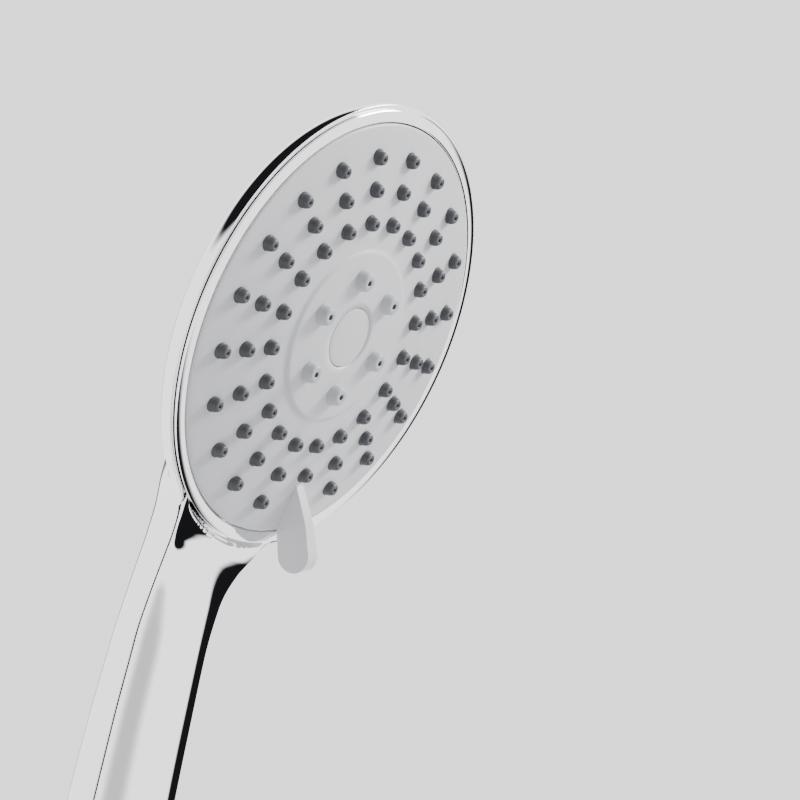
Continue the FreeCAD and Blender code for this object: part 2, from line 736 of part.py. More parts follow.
def selector_lever():
    """Thumb lever: a teardrop fin that stands on the spray face and overhangs the bezel."""
    face = Part.Face(Part.Wire(lever_outline()))
    slab = face.extrude(V(0, 10, 0))
    slab.translate(V(0, -5, 0))
    fin = turned_to_lever(slab.common(lever_plan()))
    return fin.fuse(lever_foot(0.0))


def centre_cap():
    """Domed cap over the centre screw, with a snap stem."""
    recess_w = island_w(CAP_RADIUS) - CAP_RECESS
    rim = CAP_RADIUS - 0.25
    return revolved(
        (0, recess_w + 0.4),
        (CAP_STEM - 1.2, recess_w + 0.4),
        (CAP_STEM - 1.2, recess_w - 2.2),
        (CAP_STEM - 0.1, recess_w - 2.2),
        (CAP_STEM - 0.02, recess_w + FIT_GAP),
        (CAP_RADIUS, recess_w + FIT_GAP),
        (CAP_RADIUS, sphere_w(rim, CAP_APEX_W, CAP_SPHERE) - 0.25),
        (rim, sphere_w(rim, CAP_APEX_W, CAP_SPHERE)),
        sphere_arc(rim, 0, CAP_APEX_W, CAP_SPHERE),
    )


def swirl_plate():
    """Fixed vane disc that sets the water turning before it meets the turbine."""
    low, high = SWIRL_W
    inner = HUB_TUBE_INNER + HUB_TUBE_WALL + FIT_GAP
    disc = ring(inner, PARTITION_INNER - FIT_GAP, low, high)
    slot = Part.makeBox(7.0, 1.6, 4.0, V(10.6, -0.8, low - 1.5))
    slot.rotate(V(14, 0, (low + high) / 2), V(1, 0, 0), 35)
    return disc.cut(polar(slot, 8))


def turbine():
    """Bladed rotor with a half shutter that interrupts the massage jets in turn."""
    low, high = TURBINE_W
    bore = HUB_TUBE_INNER + HUB_TUBE_WALL + RUN_GAP
    hub = ring(bore, bore + TURBINE_HUB, low, high)
    blade = Part.makeBox(TURBINE_RADIUS - bore - 1.0, 0.9, high - low, V(bore + 0.8, -0.45, low))
    blades = polar(blade, TURBINE_BLADES)
    rim = ring(TURBINE_RADIUS - 0.9, TURBINE_RADIUS, low, high)
    shutter = Part.makeCylinder(TURBINE_RADIUS - 0.2, 0.9, V(0, 0, high - 0.9), V(0, 0, 1), 180)
    shutter = shutter.cut(rod(bore + 0.5, low - 1, high + 1))
    return hub.fuse(blades + [rim, shutter])


# ---- fixed water body and what it carries -------------------------------------------
def ball_w():
    """Height of the detent ball's centre when it is level with the port plate's rear face."""
    return PORT_PLATE_W[0] - FIT_GAP - BALL_RADIUS


def row_rod(radius, low, high):
    """Cylinder on the handle's axis, expressed in the head's frame."""
    shape = Part.makeCylinder(radius, high - low, V(0, 0, low))
    shape.Placement = head_place.inverse().multiply(shape.Placement)
    return shape


def stub_top_local():
    """Top of the water body's stub, in the head's frame."""
    return head_place.inverse().multVec(V(0, 0, STUB_TOP))


def water_body():
    """White moulding in the head: a flat water box, the post, the port and the inlet stub."""
    low, high = BODY_W
    port = at(PORT_RADIUS, PORT_ANGLE)
    ball = at(BALL_CIRCLE, BALL_ANGLE)
    elbow = stub_top_local()
    elbow_y = elbow.y + 0.5
    solid = rod(BODY_RADIUS, low, high)
    solid = solid.fuse([
        rod(POST_RADIUS, high - 1, POST_TOP_W),
        rod(SEAL_BORE + 1.2, high - 1, BOSS_TOP_W, port),
        rod(BALL_RADIUS + 1.4, high - 1, BOSS_TOP_W, ball),
        rod(STOP_RADIUS, high - 1, PORT_PLATE_W[0] + 0.9, at(STOP_CIRCLE, STOP_ANGLE)),
        row_rod(STUB_RADIUS, TUBE_TOP + 0.4, STUB_TOP),
        row_rod(SOCKET_RADIUS, TUBE_TOP - 8, TUBE_TOP + 2.0),
        rod(STUB_RADIUS - 0.3, elbow.z, low + 1, V(0, elbow_y, 0)),
    ])
    box = rod(BODY_RADIUS - BODY_WALL - 0.8, low + BODY_WALL, high - BODY_WALL)
    solid_columns = [
        rod(POST_RADIUS + 1.4, low, high),
        rod(BALL_RADIUS + 1.4, low, high, ball),
        rod(STOP_RADIUS + 0.8, low, high, at(STOP_CIRCLE, STOP_ANGLE)),
    ] + [rod(3.2, low, high, at(BODY_SCREW_CIRCLE, a)) for a in BODY_SCREW_ANGLES]
    cuts = [
        box.cut(solid_columns),
        rod(SEAL_BORE, low + BODY_WALL, BOSS_TOP_W + 1, port),
        rod(BALL_RADIUS + RUN_GAP, low + BALL_FLOOR, BOSS_TOP_W + 1, ball),
        rod(SCREW_SHANK - 0.2, POST_TOP_W - 9, POST_TOP_W + 1),
        row_rod(STUB_INNER, TUBE_TOP + 0.2, STUB_TOP - 1.4),
        row_rod(TUBE_RADIUS + FIT_GAP, TUBE_TOP - 9, TUBE_TOP + 0.2),
        rod(STUB_INNER - 0.4, elbow.z + 0.5, low + BODY_WALL + 0.2, V(0, elbow_y, 0)),
        ring(POST_RADIUS - 1.0, POST_RADIUS + 1, -9.8, -8.4).cut(rod(POST_RADIUS - 1.0, -12, -6)),
    ]
    for angle in BODY_SCREW_ANGLES:
        cuts.append(rod(BODY_SCREW_RADIUS + 0.2, low - 1, high + 1, at(BODY_SCREW_CIRCLE, angle)))
    return solid.cut(cuts)


def body_screws():
    """Screws that hold the water body on the rear cover's bosses."""
    low, high = BODY_W
    screws = []
    for angle in BODY_SCREW_ANGLES:
        place = at(BODY_SCREW_CIRCLE, angle)
        head = rod(2.7, high + FIT_GAP, high + 1.2, place)
        shank = rod(BODY_SCREW_RADIUS - FIT_GAP, low - BODY_SCREW_DEPTH, high + FIT_GAP, place)
        slot = Part.makeBox(4.0, 0.6, 0.7, V(place.x - 2.0, place.y - 0.3, high + 0.6))
        screws.append(head.fuse(shank).cut(slot))
    return Part.makeCompound(screws)


def seal_rear_w():
    """Height of the port seal's rear end."""
    return PORT_PLATE_W[0] - FIT_GAP - SEAL_LENGTH


def port_seal():
    """Rubber cup pressed against the port plate."""
    top = PORT_PLATE_W[0] - FIT_GAP
    outer, inner = SEAL_BORE - 0.1, PORT_HOLE - 0.1
    cup = revolved(
        (inner, seal_rear_w()), (outer, seal_rear_w()), (outer, top - 0.6),
        (inner + 0.8, top), (inner, top),
    )
    cup.translate(at(PORT_RADIUS, PORT_ANGLE))
    return cup


def port_spring():
    """Spring behind the port seal, with room above it for the seal's lift."""
    low = BODY_W[0] + BODY_WALL + 0.1
    spring = cup_spring(PORT_SPRING_RADIUS, PORT_SPRING_WALL, low, seal_rear_w() - SEAL_LIFT - 0.1)
    spring.translate(at(PORT_RADIUS, PORT_ANGLE))
    return spring


def detent_ball():
    """Steel ball that clicks into the port plate's notches."""
    return Part.makeSphere(BALL_RADIUS, at(BALL_CIRCLE, BALL_ANGLE, ball_w()))


def detent_spring():
    """Cup spring behind the detent ball."""
    low = BODY_W[0] + BALL_FLOOR + SPRING_SEAT
    high = ball_w() - BALL_RADIUS + 0.35
    spring = cup_spring(BALL_SPRING_RADIUS, BALL_SPRING_WALL, low, high)
    spring.translate(at(BALL_CIRCLE, BALL_ANGLE))
    return spring


def centre_screw():
    """Screw in the end of the post that keeps the engine on it."""
    head_low = POST_TOP_W + WASHER_THICK + FIT_GAP
    head = rod(SCREW_HEAD, head_low, head_low + SCREW_HEAD_TALL)
    head = head.makeFillet(0.8, edges_at_height(head, head_low + SCREW_HEAD_TALL, head_low + SCREW_HEAD_TALL))
    cross = Part.makeBox(4.4, 0.9, 1.4, V(-2.2, -0.45, head_low + SCREW_HEAD_TALL - 1.2))
    other = cross.copy()
    other.rotate(V(0, 0, 0), V(0, 0, 1), 90)
    return head.fuse(rod(SCREW_SHANK - 0.25, POST_TOP_W - 8, head_low)).cut([cross, other])


def centre_washer():
    """Washer that overlaps the engine's inner ledge."""
    return ring(SCREW_SHANK + 0.1, WASHER_RADIUS, POST_TOP_W + FIT_GAP / 2, POST_TOP_W + WASHER_THICK)


def post_o_ring():
    """Seal between the post and the port plate's bore."""
    return o_ring(POST_RADIUS - 0.5, 0.48, -9.1)


# ---- handle and inlet, on the handle axis ---------------------------------------------
def inlet_nipple():
    """Brass inlet: G1/2 thread below, spigot in the handle above, with stepped bores."""
    flank = (THREAD_PITCH - THREAD_CREST) / 2
    steps = [(THREAD_RADIUS, 0.0), (THREAD_RADIUS, THREAD_CREST), (THREAD_ROOT, THREAD_CREST + flank)]
    # flat-crested ridges stand for the thread's turns
    for turn in range(1, THREAD_TURNS + 1):
        z = turn * THREAD_PITCH
        steps += [
            (THREAD_RADIUS, z), (THREAD_RADIUS, z + THREAD_CREST),
            (THREAD_ROOT, z + THREAD_CREST + flank),
        ]
    steps += [
        (THREAD_ROOT, THREAD_LENGTH),
        (FERRULE_INNER - 0.1, THREAD_LENGTH),
        (FERRULE_INNER - 0.1, 19.0),
        (NIPPLE_RADIUS, 19.0),
        (NIPPLE_RADIUS, 24.0), (NIPPLE_RADIUS - 0.9, 24.0),
        (NIPPLE_RADIUS - 0.9, 26.0), (NIPPLE_RADIUS, 26.0),
        (NIPPLE_RADIUS, NIPPLE_TOP),
        (TUBE_RADIUS + FIT_GAP, NIPPLE_TOP),
        (TUBE_RADIUS + FIT_GAP, CARTRIDGE_TOP + 1.5),
        (TUBE_INNER, CARTRIDGE_TOP + 1.5),
        (TUBE_INNER, CARTRIDGE_TOP),
        (CARTRIDGE_BORE, CARTRIDGE_TOP),
        (CARTRIDGE_BORE, INLET_BORE_DEPTH),
        (INLET_BORE, INLET_BORE_DEPTH),
        (INLET_BORE, 0.0),
    ]
    return revolved(*steps)


def end_ferrule():
    """Chromed ring that closes the lower end of the handle's two halves."""
    low, high = FERRULE_W
    return revolved(
        (FERRULE_INNER, low),
        (FERRULE_RADIUS - 0.5, low),
        (FERRULE_RADIUS, low + 0.5, FERRULE_RADIUS - 0.15, low + 0.15),
        (FERRULE_RADIUS, high),
        (FERRULE_INNER, high),
    )


def handle_tube():
    """Inner water tube from the inlet nipple to the water body."""
    low = CARTRIDGE_TOP + 1.6
    return revolved(
        (TUBE_INNER, low + 0.0),
        (TUBE_NECK, low),
        (TUBE_NECK, low + 3.2),
        (TUBE_RADIUS, low + 3.2),
        (TUBE_RADIUS, TUBE_TOP - 3.2),
        (TUBE_NECK, TUBE_TOP - 3.2),
        (TUBE_NECK, TUBE_TOP),
        (TUBE_INNER, TUBE_TOP),
    )


def tube_o_ring(z):
    """Seal on a reduced end of the tube."""
    return o_ring(TUBE_NECK + 0.52, 0.48, z)


def filter_frame():
    """Plastic ring that carries the inlet filter."""
    outer = INLET_BORE - FIT_GAP
    return revolved(
        (outer - 1.6, 1.0), (outer, 1.0), (outer, 4.6), (outer - 1.0, 4.6), (outer - 1.0, 2.2),
        (outer - 1.6, 2.2),
    )


def filter_mesh():
    """Perforated steel disc in the filter frame."""
    disc = rod(INLET_BORE - FIT_GAP - 1.05, 2.25, 2.65)
    holes = [rod(0.55, 1, 4)]
    for step in range(1, 4):
        for k in range(6 * step):
            holes.append(rod(0.55, 1, 4, at(1.75 * step, 60.0 * k / step)))
    return disc.cut(holes)


def inlet_washer():
    """Rubber washer above the filter."""
    return ring(5.2, INLET_BORE - FIT_GAP, 4.7, 6.9)


def flow_regulator():
    """Star-shaped insert that limits the flow, with slots round a central pin."""
    low = INLET_BORE_DEPTH + 0.1
    disc = rod(CARTRIDGE_BORE - FIT_GAP, low, low + 3.6)
    slot = Part.makeBox(2.6, 1.3, 8, V(2.6, -0.65, low - 2))
    return disc.cut(polar(slot, 8)).fuse(rod(1.2, low - 1.0, low + 1.0))


def flow_ring():
    """Elastic ring that chokes the regulator as the pressure rises."""
    return o_ring(3.6, 0.7, INLET_BORE_DEPTH - 0.75)


def valve_body():
    """Check valve housing with a seat below and a spider above."""
    low, high = INLET_BORE_DEPTH + 4.0, CARTRIDGE_TOP - 0.1
    outer = CARTRIDGE_BORE - FIT_GAP
    body = revolved(
        (3.4, low), (outer, low), (outer, high), (5.6, high), (5.6, low + 3.4), (3.4, low + 1.0),
    )
    spider = ring(1.15, 2.2, high - 2.4, high)
    arms = polar(Part.makeBox(4.4, 1.0, 1.6, V(1.5, -0.5, high - 1.6)), 3)
    return body.fuse([spider] + arms)


def valve_poppet():
    """Mushroom-shaped poppet that lifts off the seat in the flow."""
    low = INLET_BORE_DEPTH + 4.0
    return revolved(
        (0, low + 1.0), (3.1, low + 1.0), (3.1, low + 1.7), (4.9, low + 3.7), (4.9, low + 4.6),
        (1.05, low + 4.6), (1.05, CARTRIDGE_TOP - 0.9), (0, CARTRIDGE_TOP - 0.9),
    )


def valve_seal():
    """Rubber ring on the poppet's cone."""
    return o_ring(4.16, 0.33, INLET_BORE_DEPTH + 6.35)


def valve_spring():
    """Closing spring of the check valve."""
    low = INLET_BORE_DEPTH + 8.75
    return coil_spring(1.75, 0.25, low, CARTRIDGE_TOP - 2.6, 5)


def nipple_o_ring():
    """Ring in the nipple's groove that steadies it in the handle."""
    return o_ring(NIPPLE_RADIUS - 0.38, 0.5, 25.0)


HEAD_PARTS = {
    "bezel_ring": bezel_ring,
    "face_plate": face_plate,
    "rain_nozzle_mat": rain_mat,
    "massage_nozzle_mat": massage_mat,
    "spray_chamber": spray_chamber,
    "channel_gasket": channel_gasket,
    "port_plate": port_plate,
    "engine_screws": engine_screws,
    "selector_lever": selector_lever,
    "centre_cap": centre_cap,
    "swirl_plate": swirl_plate,
    "turbine": turbine,
    "water_body": water_body,
    "body_screws": body_screws,
    "port_seal": port_seal,
    "port_spring": port_spring,
    "detent_ball": detent_ball,
    "detent_spring": detent_spring,
    "centre_screw": centre_screw,
    "centre_washer": centre_washer,
    "post_o_ring": post_o_ring,
}

ROW_PARTS = {
    "rear_cover": rear_cover,
    "front_cover": front_cover,
    "end_ferrule": end_ferrule,
    "inlet_nipple": inlet_nipple,
    "handle_tube": handle_tube,
    "tube_o_ring_lower": lambda: tube_o_ring(CARTRIDGE_TOP + 3.2),
    "tube_o_ring_upper": lambda: tube_o_ring(TUBE_TOP - 1.6),
    "filter_frame": filter_frame,
    "filter_mesh": filter_mesh,
    "inlet_washer": inlet_washer,
    "flow_regulator": flow_regulator,
    "flow_ring": flow_ring,
    "valve_body": valve_body,
    "valve_poppet": valve_poppet,
    "valve_seal": valve_seal,
    "valve_spring": valve_spring,
    "nipple_o_ring": nipple_o_ring,
}


def main():
    """Builds every node and writes it to parts/."""
    os.makedirs("parts", exist_ok=True)
    for old in os.listdir("parts"):
        os.remove(os.path.join("parts", old))
    shapes = {name: in_head(make()) for name, make in HEAD_PARTS.items()}
    shapes.update({name: make() for name, make in ROW_PARTS.items()})
    for name, shape in shapes.items():
        if not shape.isValid():
            print("not valid:", name)
        print(f"{name}: {len(shape.Solids)} solid(s), {shape.Volume / 1000:.2f} cm3")
        shape.exportStep(os.path.join("parts", name + ".step"))


main()
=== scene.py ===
"""Looks of a handheld shower head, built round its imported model.

The head has a frame of its own: its origin and its +Z (called w here) are those of the
joint that turns the spray face, and w points out of the face. Sizes are in millimetres
and become metres when a finished mesh is put in place.
"""
from __future__ import annotations

import json
import logging
import math
from dataclasses import dataclass
from enum import Enum
from typing import Callable, Iterable, Sequence

import bmesh
import bpy
from mathutils import Matrix, Vector

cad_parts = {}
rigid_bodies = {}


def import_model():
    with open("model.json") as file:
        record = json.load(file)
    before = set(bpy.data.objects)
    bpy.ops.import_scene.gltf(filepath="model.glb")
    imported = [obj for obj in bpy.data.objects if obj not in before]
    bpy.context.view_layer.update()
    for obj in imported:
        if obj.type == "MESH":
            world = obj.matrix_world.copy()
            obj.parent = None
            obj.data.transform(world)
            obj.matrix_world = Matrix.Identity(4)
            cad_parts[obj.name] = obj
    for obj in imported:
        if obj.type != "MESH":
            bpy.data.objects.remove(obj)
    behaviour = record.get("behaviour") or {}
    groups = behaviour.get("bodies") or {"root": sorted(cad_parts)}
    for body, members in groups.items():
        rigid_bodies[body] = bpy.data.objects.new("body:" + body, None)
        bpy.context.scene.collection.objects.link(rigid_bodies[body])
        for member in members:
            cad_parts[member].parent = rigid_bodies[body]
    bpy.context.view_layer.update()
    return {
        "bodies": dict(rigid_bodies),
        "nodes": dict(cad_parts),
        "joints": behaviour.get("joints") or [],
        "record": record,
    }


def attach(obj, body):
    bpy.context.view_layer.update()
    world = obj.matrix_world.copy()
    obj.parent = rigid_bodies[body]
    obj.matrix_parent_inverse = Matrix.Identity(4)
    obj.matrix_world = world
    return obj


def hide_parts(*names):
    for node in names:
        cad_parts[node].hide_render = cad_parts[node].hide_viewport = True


LOG = logging.getLogger("shower_head")
MM = 0.001

# segments of a full turn of the large round pieces
TURN_STEPS = 192
# points nearer than this, in millimetres, are one
MERGE_REACH = 1e-5
# most of a run that the round of its corner may take
ROUND_SHARE = 0.45
# how a ray looks for a surface: coarse steps first, then halvings of the last one
RAY_STEPS = 24
RAY_HALVINGS = 16

ACROSS = Vector((1.0, 0.0, 0.0))

Point = tuple[float, float]
Profile = Sequence[Point]


# ---------------------------------------------------------------------------------------
# Frame and mesh helpers
# ---------------------------------------------------------------------------------------
@dataclass(frozen=True)
class HeadFrame:
    """Where the head stands in the row frame, read from the selector's joint."""

    origin: Vector
    normal: Vector

    @classmethod
    def from_joints(cls, joints: Iterable[dict]) -> HeadFrame:
        """Reads the frame from the joint that turns the spray engine.

        Args:
            joints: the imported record's joints.

        Returns:
            The head's frame.
        """
        turn = next(joint for joint in joints if joint["name"] == "selector_turn")
        return cls(Vector(turn["pos_m"]), Vector(turn["axis"]).normalized())

    def matrix(self) -> Matrix:
        """Head millimetres to row metres."""
        turn = Matrix((ACROSS, self.up(), self.normal)).transposed().to_4x4()
        return Matrix.Translation(self.origin) @ turn @ Matrix.Scale(MM, 4)

    def up(self) -> Vector:
        """The face's upward direction."""
        return self.normal.cross(ACROSS)

    def to_head(self, point: Vector) -> Vector:
        """Row millimetres to head millimetres."""
        offset = point - self.origin / MM
        return Vector((offset.x, offset.dot(self.up()), offset.dot(self.normal)))


ROW_MATRIX = Matrix.Scale(MM, 4)


def polar(radius: float, angle: float, w: float = 0.0) -> Vector:
    """Point on a circle about the local axis, with the angle in degrees."""
    turn = math.radians(angle)
    return Vector((radius * math.cos(turn), radius * math.sin(turn), w))


def sphere_w(r: float, apex: float, radius: float) -> float:
    """Height at radius r of a sphere whose top is at apex on the axis."""
    return apex - radius + math.sqrt(radius * radius - r * r)


def arc_points(start: Point, mid: Point, end: Point, count: int) -> list[Point]:
    """Points on a quadratic curve that leaves start and reaches end, pulled towards mid.

    Args:
        start: first point, not returned.
        mid: the corner that the curve rounds.
        end: last point, returned.
        count: how many points to return.

    Returns:
        The points after start, up to and with end.
    """
    points = []
    for k in range(1, count + 1):
        t = k / count
        a, b, c = (1 - t) ** 2, 2 * t * (1 - t), t * t
        points.append((a * start[0] + b * mid[0] + c * end[0], a * start[1] + b * mid[1] + c * end[1]))
    return points


def rounded(profile: Profile, radius: float, count: int = 4) -> list[Point]:
    """A profile with each inner corner rounded.

    Args:
        profile: the corner points, in order.
        radius: how far from each corner the round starts, limited by its two runs.
        count: segments per round.

    Returns:
        The profile's points.
    """
    points = [profile[0]]
    for before, corner, after in zip(profile, profile[1:], profile[2:]):
        near, far = Vector(before) - Vector(corner), Vector(after) - Vector(corner)
        reach = min(radius, near.length * ROUND_SHARE, far.length * ROUND_SHARE)
        start = Vector(corner) + near.normalized() * reach
        end = Vector(corner) + far.normalized() * reach
        points.append(tuple(start))
        points.extend(arc_points(tuple(start), corner, tuple(end), count))
    points.append(profile[-1])
    return points


def turned(profile: Profile, steps: int) -> bmesh.types.BMesh:
    """Spins an (r, w) profile round the local axis.

    Args:
        profile: points from one end to the other; an end on the axis closes the form.
        steps: segments of the full turn.

    Returns:
        A new mesh with its faces pointing outwards.
    """
    bm = bmesh.new()
    verts = [bm.verts.new((r, 0.0, w)) for r, w in profile]
    edges = [bm.edges.new(pair) for pair in zip(verts, verts[1:])]
    bmesh.ops.spin(
        bm, geom=verts + edges, cent=(0, 0, 0), axis=(0, 0, 1), angle=math.tau, steps=steps,
        use_merge=True, use_duplicate=False,
    )
    bmesh.ops.remove_doubles(bm, verts=bm.verts, dist=MERGE_REACH)
    bmesh.ops.recalc_face_normals(bm, faces=bm.faces)
    return bm


def face_outwards(bm: bmesh.types.BMesh, centre: Vector) -> None:
    """Turns the faces of an open shell away from a point inside it.

    Args:
        bm: the shell, whose faces already agree with one another.
        centre: the point inside.
    """
    flow = sum((f.normal.dot(f.calc_center_median() - centre) * f.calc_area() for f in bm.faces), 0.0)
    if flow < 0:
        bmesh.ops.reverse_faces(bm, faces=bm.faces)


def add_copy(target: bmesh.types.BMesh, source: bmesh.types.BMesh, move: Matrix) -> None:
    """Adds a moved copy of one mesh to another.

    Args:
        target: the mesh that grows.
        source: the mesh that is copied; it stays as it is.
        move: where the copy goes.
    """
    mesh = bpy.data.meshes.new("copy")
    source.to_mesh(mesh)
    mesh.transform(move)
    target.from_mesh(mesh)
    bpy.data.meshes.remove(mesh)


def monotone_value(xs: Sequence[float], ys: Sequence[float], x: float) -> float:
    """Value at x of the monotone cubic through the points.

    Args:
        xs: rising positions.
        ys: a value for each position.
        x: where to read the curve; it is held inside the positions.

    Returns:
        The curve's value.
    """
    x = min(max(x, xs[0]), xs[-1])
    steps = [(y1 - y0) / (x1 - x0) for x0, x1, y0, y1 in zip(xs, xs[1:], ys, ys[1:])]
    slopes = [steps[0]]
    for before, after in zip(steps, steps[1:]):
        slopes.append(2 * before * after / (before + after) if before * after > 0 else 0.0)
    slopes.append(steps[-1])
    k = max(i for i in range(len(xs) - 1) if xs[i] <= x + 1e-9)
    span = xs[k + 1] - xs[k]
    t = (x - xs[k]) / span
    start = ys[k] * (1 + 2 * t) * (1 - t) ** 2 + span * slopes[k] * t * (1 - t) ** 2
    stop = ys[k + 1] * t * t * (3 - 2 * t) + span * slopes[k + 1] * t * t * (t - 1)
    return start + stop


def smooth_least(a: float, b: float, blend: float) -> float:
    """Smaller of two distances, with a round of about the blend's size where they meet."""
    h = max(blend - abs(a - b), 0.0) / blend
    return min(a, b) - h * h * h * blend / 6.0


class Body(Enum):
    """The model's rigid bodies that new pieces ride on."""

    CASING = "casing"
    ENGINE = "spray_engine"


@dataclass
class Workshop:
    """Turns finished bmeshes into pieces that ride on their bodies."""

    head: HeadFrame

    def piece(
        self, name: str, bm: bmesh.types.BMesh, body: Body, materials: Sequence[bpy.types.Material],
        replaces: Sequence[str] = (), in_head: bool = True,
    ) -> bpy.types.Object:
        """Makes an object of a mesh, places it and hangs it on its body.

        Args:
            name: the piece's name.
            bm: its mesh in millimetres; it is freed.
            body: the body that it rides on.
            materials: its materials, in the order of its face indices.
            replaces: CAD nodes that it stands for.
            in_head: whether the mesh is in the head's frame or in the row's.

        Returns:
            The new object.
        """
        mesh = bpy.data.meshes.new(name)
        bm.to_mesh(mesh)
        bm.free()
        mesh.transform(self.head.matrix() if in_head else ROW_MATRIX)
        for polygon in mesh.polygons:
            polygon.use_smooth = True
        for material in materials:
            mesh.materials.append(material)
        obj = bpy.data.objects.new(name, mesh)
        bpy.context.scene.collection.objects.link(obj)
        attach(obj, body.value)
        if replaces:
            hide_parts(*replaces)
        LOG.info("%s: %d faces on %s", name, len(mesh.polygons), body.value)
        return obj

    @staticmethod
    def round_edges(obj: bpy.types.Object, radius: float, segments: int, sharp: float) -> None:
        """Rounds an object's sharp edges.

        Args:
            obj: the object.
            radius: radius of the round in millimetres.
            segments: segments of the round.
            sharp: least angle in degrees at which an edge is rounded.
        """
        bevel = obj.modifiers.new("edges", "BEVEL")
        bevel.width = radius * MM
        bevel.segments = segments
        bevel.limit_method = "ANGLE"
        bevel.angle_limit = math.radians(sharp)
        bevel.harden_normals = True

    @staticmethod
    def thicken(obj: bpy.types.Object, wall: float, edge_round: float) -> None:
        """Gives a sheet a wall inwards and rounds the wall's edges.

        Args:
            obj: the sheet.
            wall: thickness in millimetres.
            edge_round: radius of the edges in millimetres.
        """
        solid = obj.modifiers.new("wall", "SOLIDIFY")
        solid.thickness = wall * MM
        solid.offset = -1.0
        Workshop.round_edges(obj, edge_round, segments=2, sharp=50.0)


# ---------------------------------------------------------------------------------------
# Materials
# ---------------------------------------------------------------------------------------
class ShaderGroups:
    """Effects that several materials share, each built once."""

    FINE_DETAIL = 3.0
    BROAD_DETAIL = 5.0
    BROAD_ROUGHNESS = 0.62
    # how much coarser the broad noise is than the fine one
    BROAD_SCALE = 0.045

    _made: dict[str, bpy.types.NodeTree] = {}

    @classmethod
    def grain(cls) -> bpy.types.NodeTree:
        """Fine two-scale noise of a moulded or cast surface.

        Returns:
            A group with inputs Vector, Scale and Contrast, and outputs Height and Mask.
        """
        if "grain" in cls._made:
            return cls._made["grain"]
        tree = bpy.data.node_groups.new("surface_grain", "ShaderNodeTree")
        face = tree.interface
        face.new_socket("Vector", in_out="INPUT", socket_type="NodeSocketVector")
        scale = face.new_socket("Scale", in_out="INPUT", socket_type="NodeSocketFloat")
        scale.default_value = 900.0
        contrast = face.new_socket("Contrast", in_out="INPUT", socket_type="NodeSocketFloat")
        contrast.default_value = 1.0
        face.new_socket("Height", in_out="OUTPUT", socket_type="NodeSocketFloat")
        face.new_socket("Mask", in_out="OUTPUT", socket_type="NodeSocketFloat")
        nodes, links = tree.nodes, tree.links
        enter, leave = nodes.new("NodeGroupInput"), nodes.new("NodeGroupOutput")
        fine, broad = nodes.new("ShaderNodeTexNoise"), nodes.new("ShaderNodeTexNoise")
        fine.inputs["Detail"].default_value = cls.FINE_DETAIL
        broad.inputs["Detail"].default_value = cls.BROAD_DETAIL
        broad.inputs["Roughness"].default_value = cls.BROAD_ROUGHNESS
        ratio = nodes.new("ShaderNodeMath")
        ratio.operation = "MULTIPLY"
        ratio.inputs[1].default_value = cls.BROAD_SCALE
        power = nodes.new("ShaderNodeMath")
        power.operation = "POWER"
        links.new(enter.outputs["Vector"], fine.inputs["Vector"])
        links.new(enter.outputs["Vector"], broad.inputs["Vector"])
        links.new(enter.outputs["Scale"], fine.inputs["Scale"])
        links.new(enter.outputs["Scale"], ratio.inputs[0])
        links.new(ratio.outputs[0], broad.inputs["Scale"])
        links.new(fine.outputs["Fac"], leave.inputs["Height"])
        links.new(broad.outputs["Fac"], power.inputs[0])
        links.new(enter.outputs["Contrast"], power.inputs[1])
        links.new(power.outputs[0], leave.inputs["Mask"])
        cls._made["grain"] = tree
        return tree


@dataclass(frozen=True)
class Finish:
    """A surface finish with grain: two near colours and two near roughnesses, mixed by noise."""

    name: str
    light: tuple[float, float, float]
    dark: tuple[float, float, float]
    rough_low: float
    rough_high: float
    metallic: float = 0.0
    grain_scale: float = 900.0
    bump: float = 0.1
    bump_depth: float = 0.00002
    coat: float = 0.0
    coat_roughness: float = 0.05
    specular: float = 0.5
    contrast: float = 1.4

    def build(self) -> bpy.types.Material:
        """Builds the node material.

        Returns:
            The material.
        """
        material = bpy.data.materials.new(self.name)
        material.use_nodes = True
        nodes, links = material.node_tree.nodes, material.node_tree.links
        shader = nodes["Principled BSDF"]
        shader.inputs["Metallic"].default_value = self.metallic
        shader.inputs["Coat Weight"].default_value = self.coat
        shader.inputs["Coat Roughness"].default_value = self.coat_roughness
        shader.inputs["Specular IOR Level"].default_value = self.specular
        place = nodes.new("ShaderNodeTexCoord")
        grain = nodes.new("ShaderNodeGroup")
        grain.node_tree = ShaderGroups.grain()
        grain.inputs["Scale"].default_value = self.grain_scale
        grain.inputs["Contrast"].default_value = self.contrast
        colour = nodes.new("ShaderNodeMix")
        colour.data_type = "RGBA"
        colour.inputs["A"].default_value = (*self.light, 1.0)
        colour.inputs["B"].default_value = (*self.dark, 1.0)
        rough = nodes.new("ShaderNodeMapRange")
        rough.inputs["To Min"].default_value = self.rough_low
        rough.inputs["To Max"].default_value = self.rough_high
        bump = nodes.new("ShaderNodeBump")
        bump.inputs["Strength"].default_value = self.bump
        bump.inputs["Distance"].default_value = self.bump_depth
        links.new(place.outputs["Object"], grain.inputs["Vector"])
        links.new(grain.outputs["Mask"], colour.inputs["Factor"])
        links.new(grain.outputs["Mask"], rough.inputs["Value"])
        links.new(grain.outputs["Height"], bump.inputs["Height"])
        links.new(colour.outputs["Result"], shader.inputs["Base Color"])
        links.new(rough.outputs["Result"], shader.inputs["Roughness"])
        links.new(bump.outputs["Normal"], shader.inputs["Normal"])
        return material


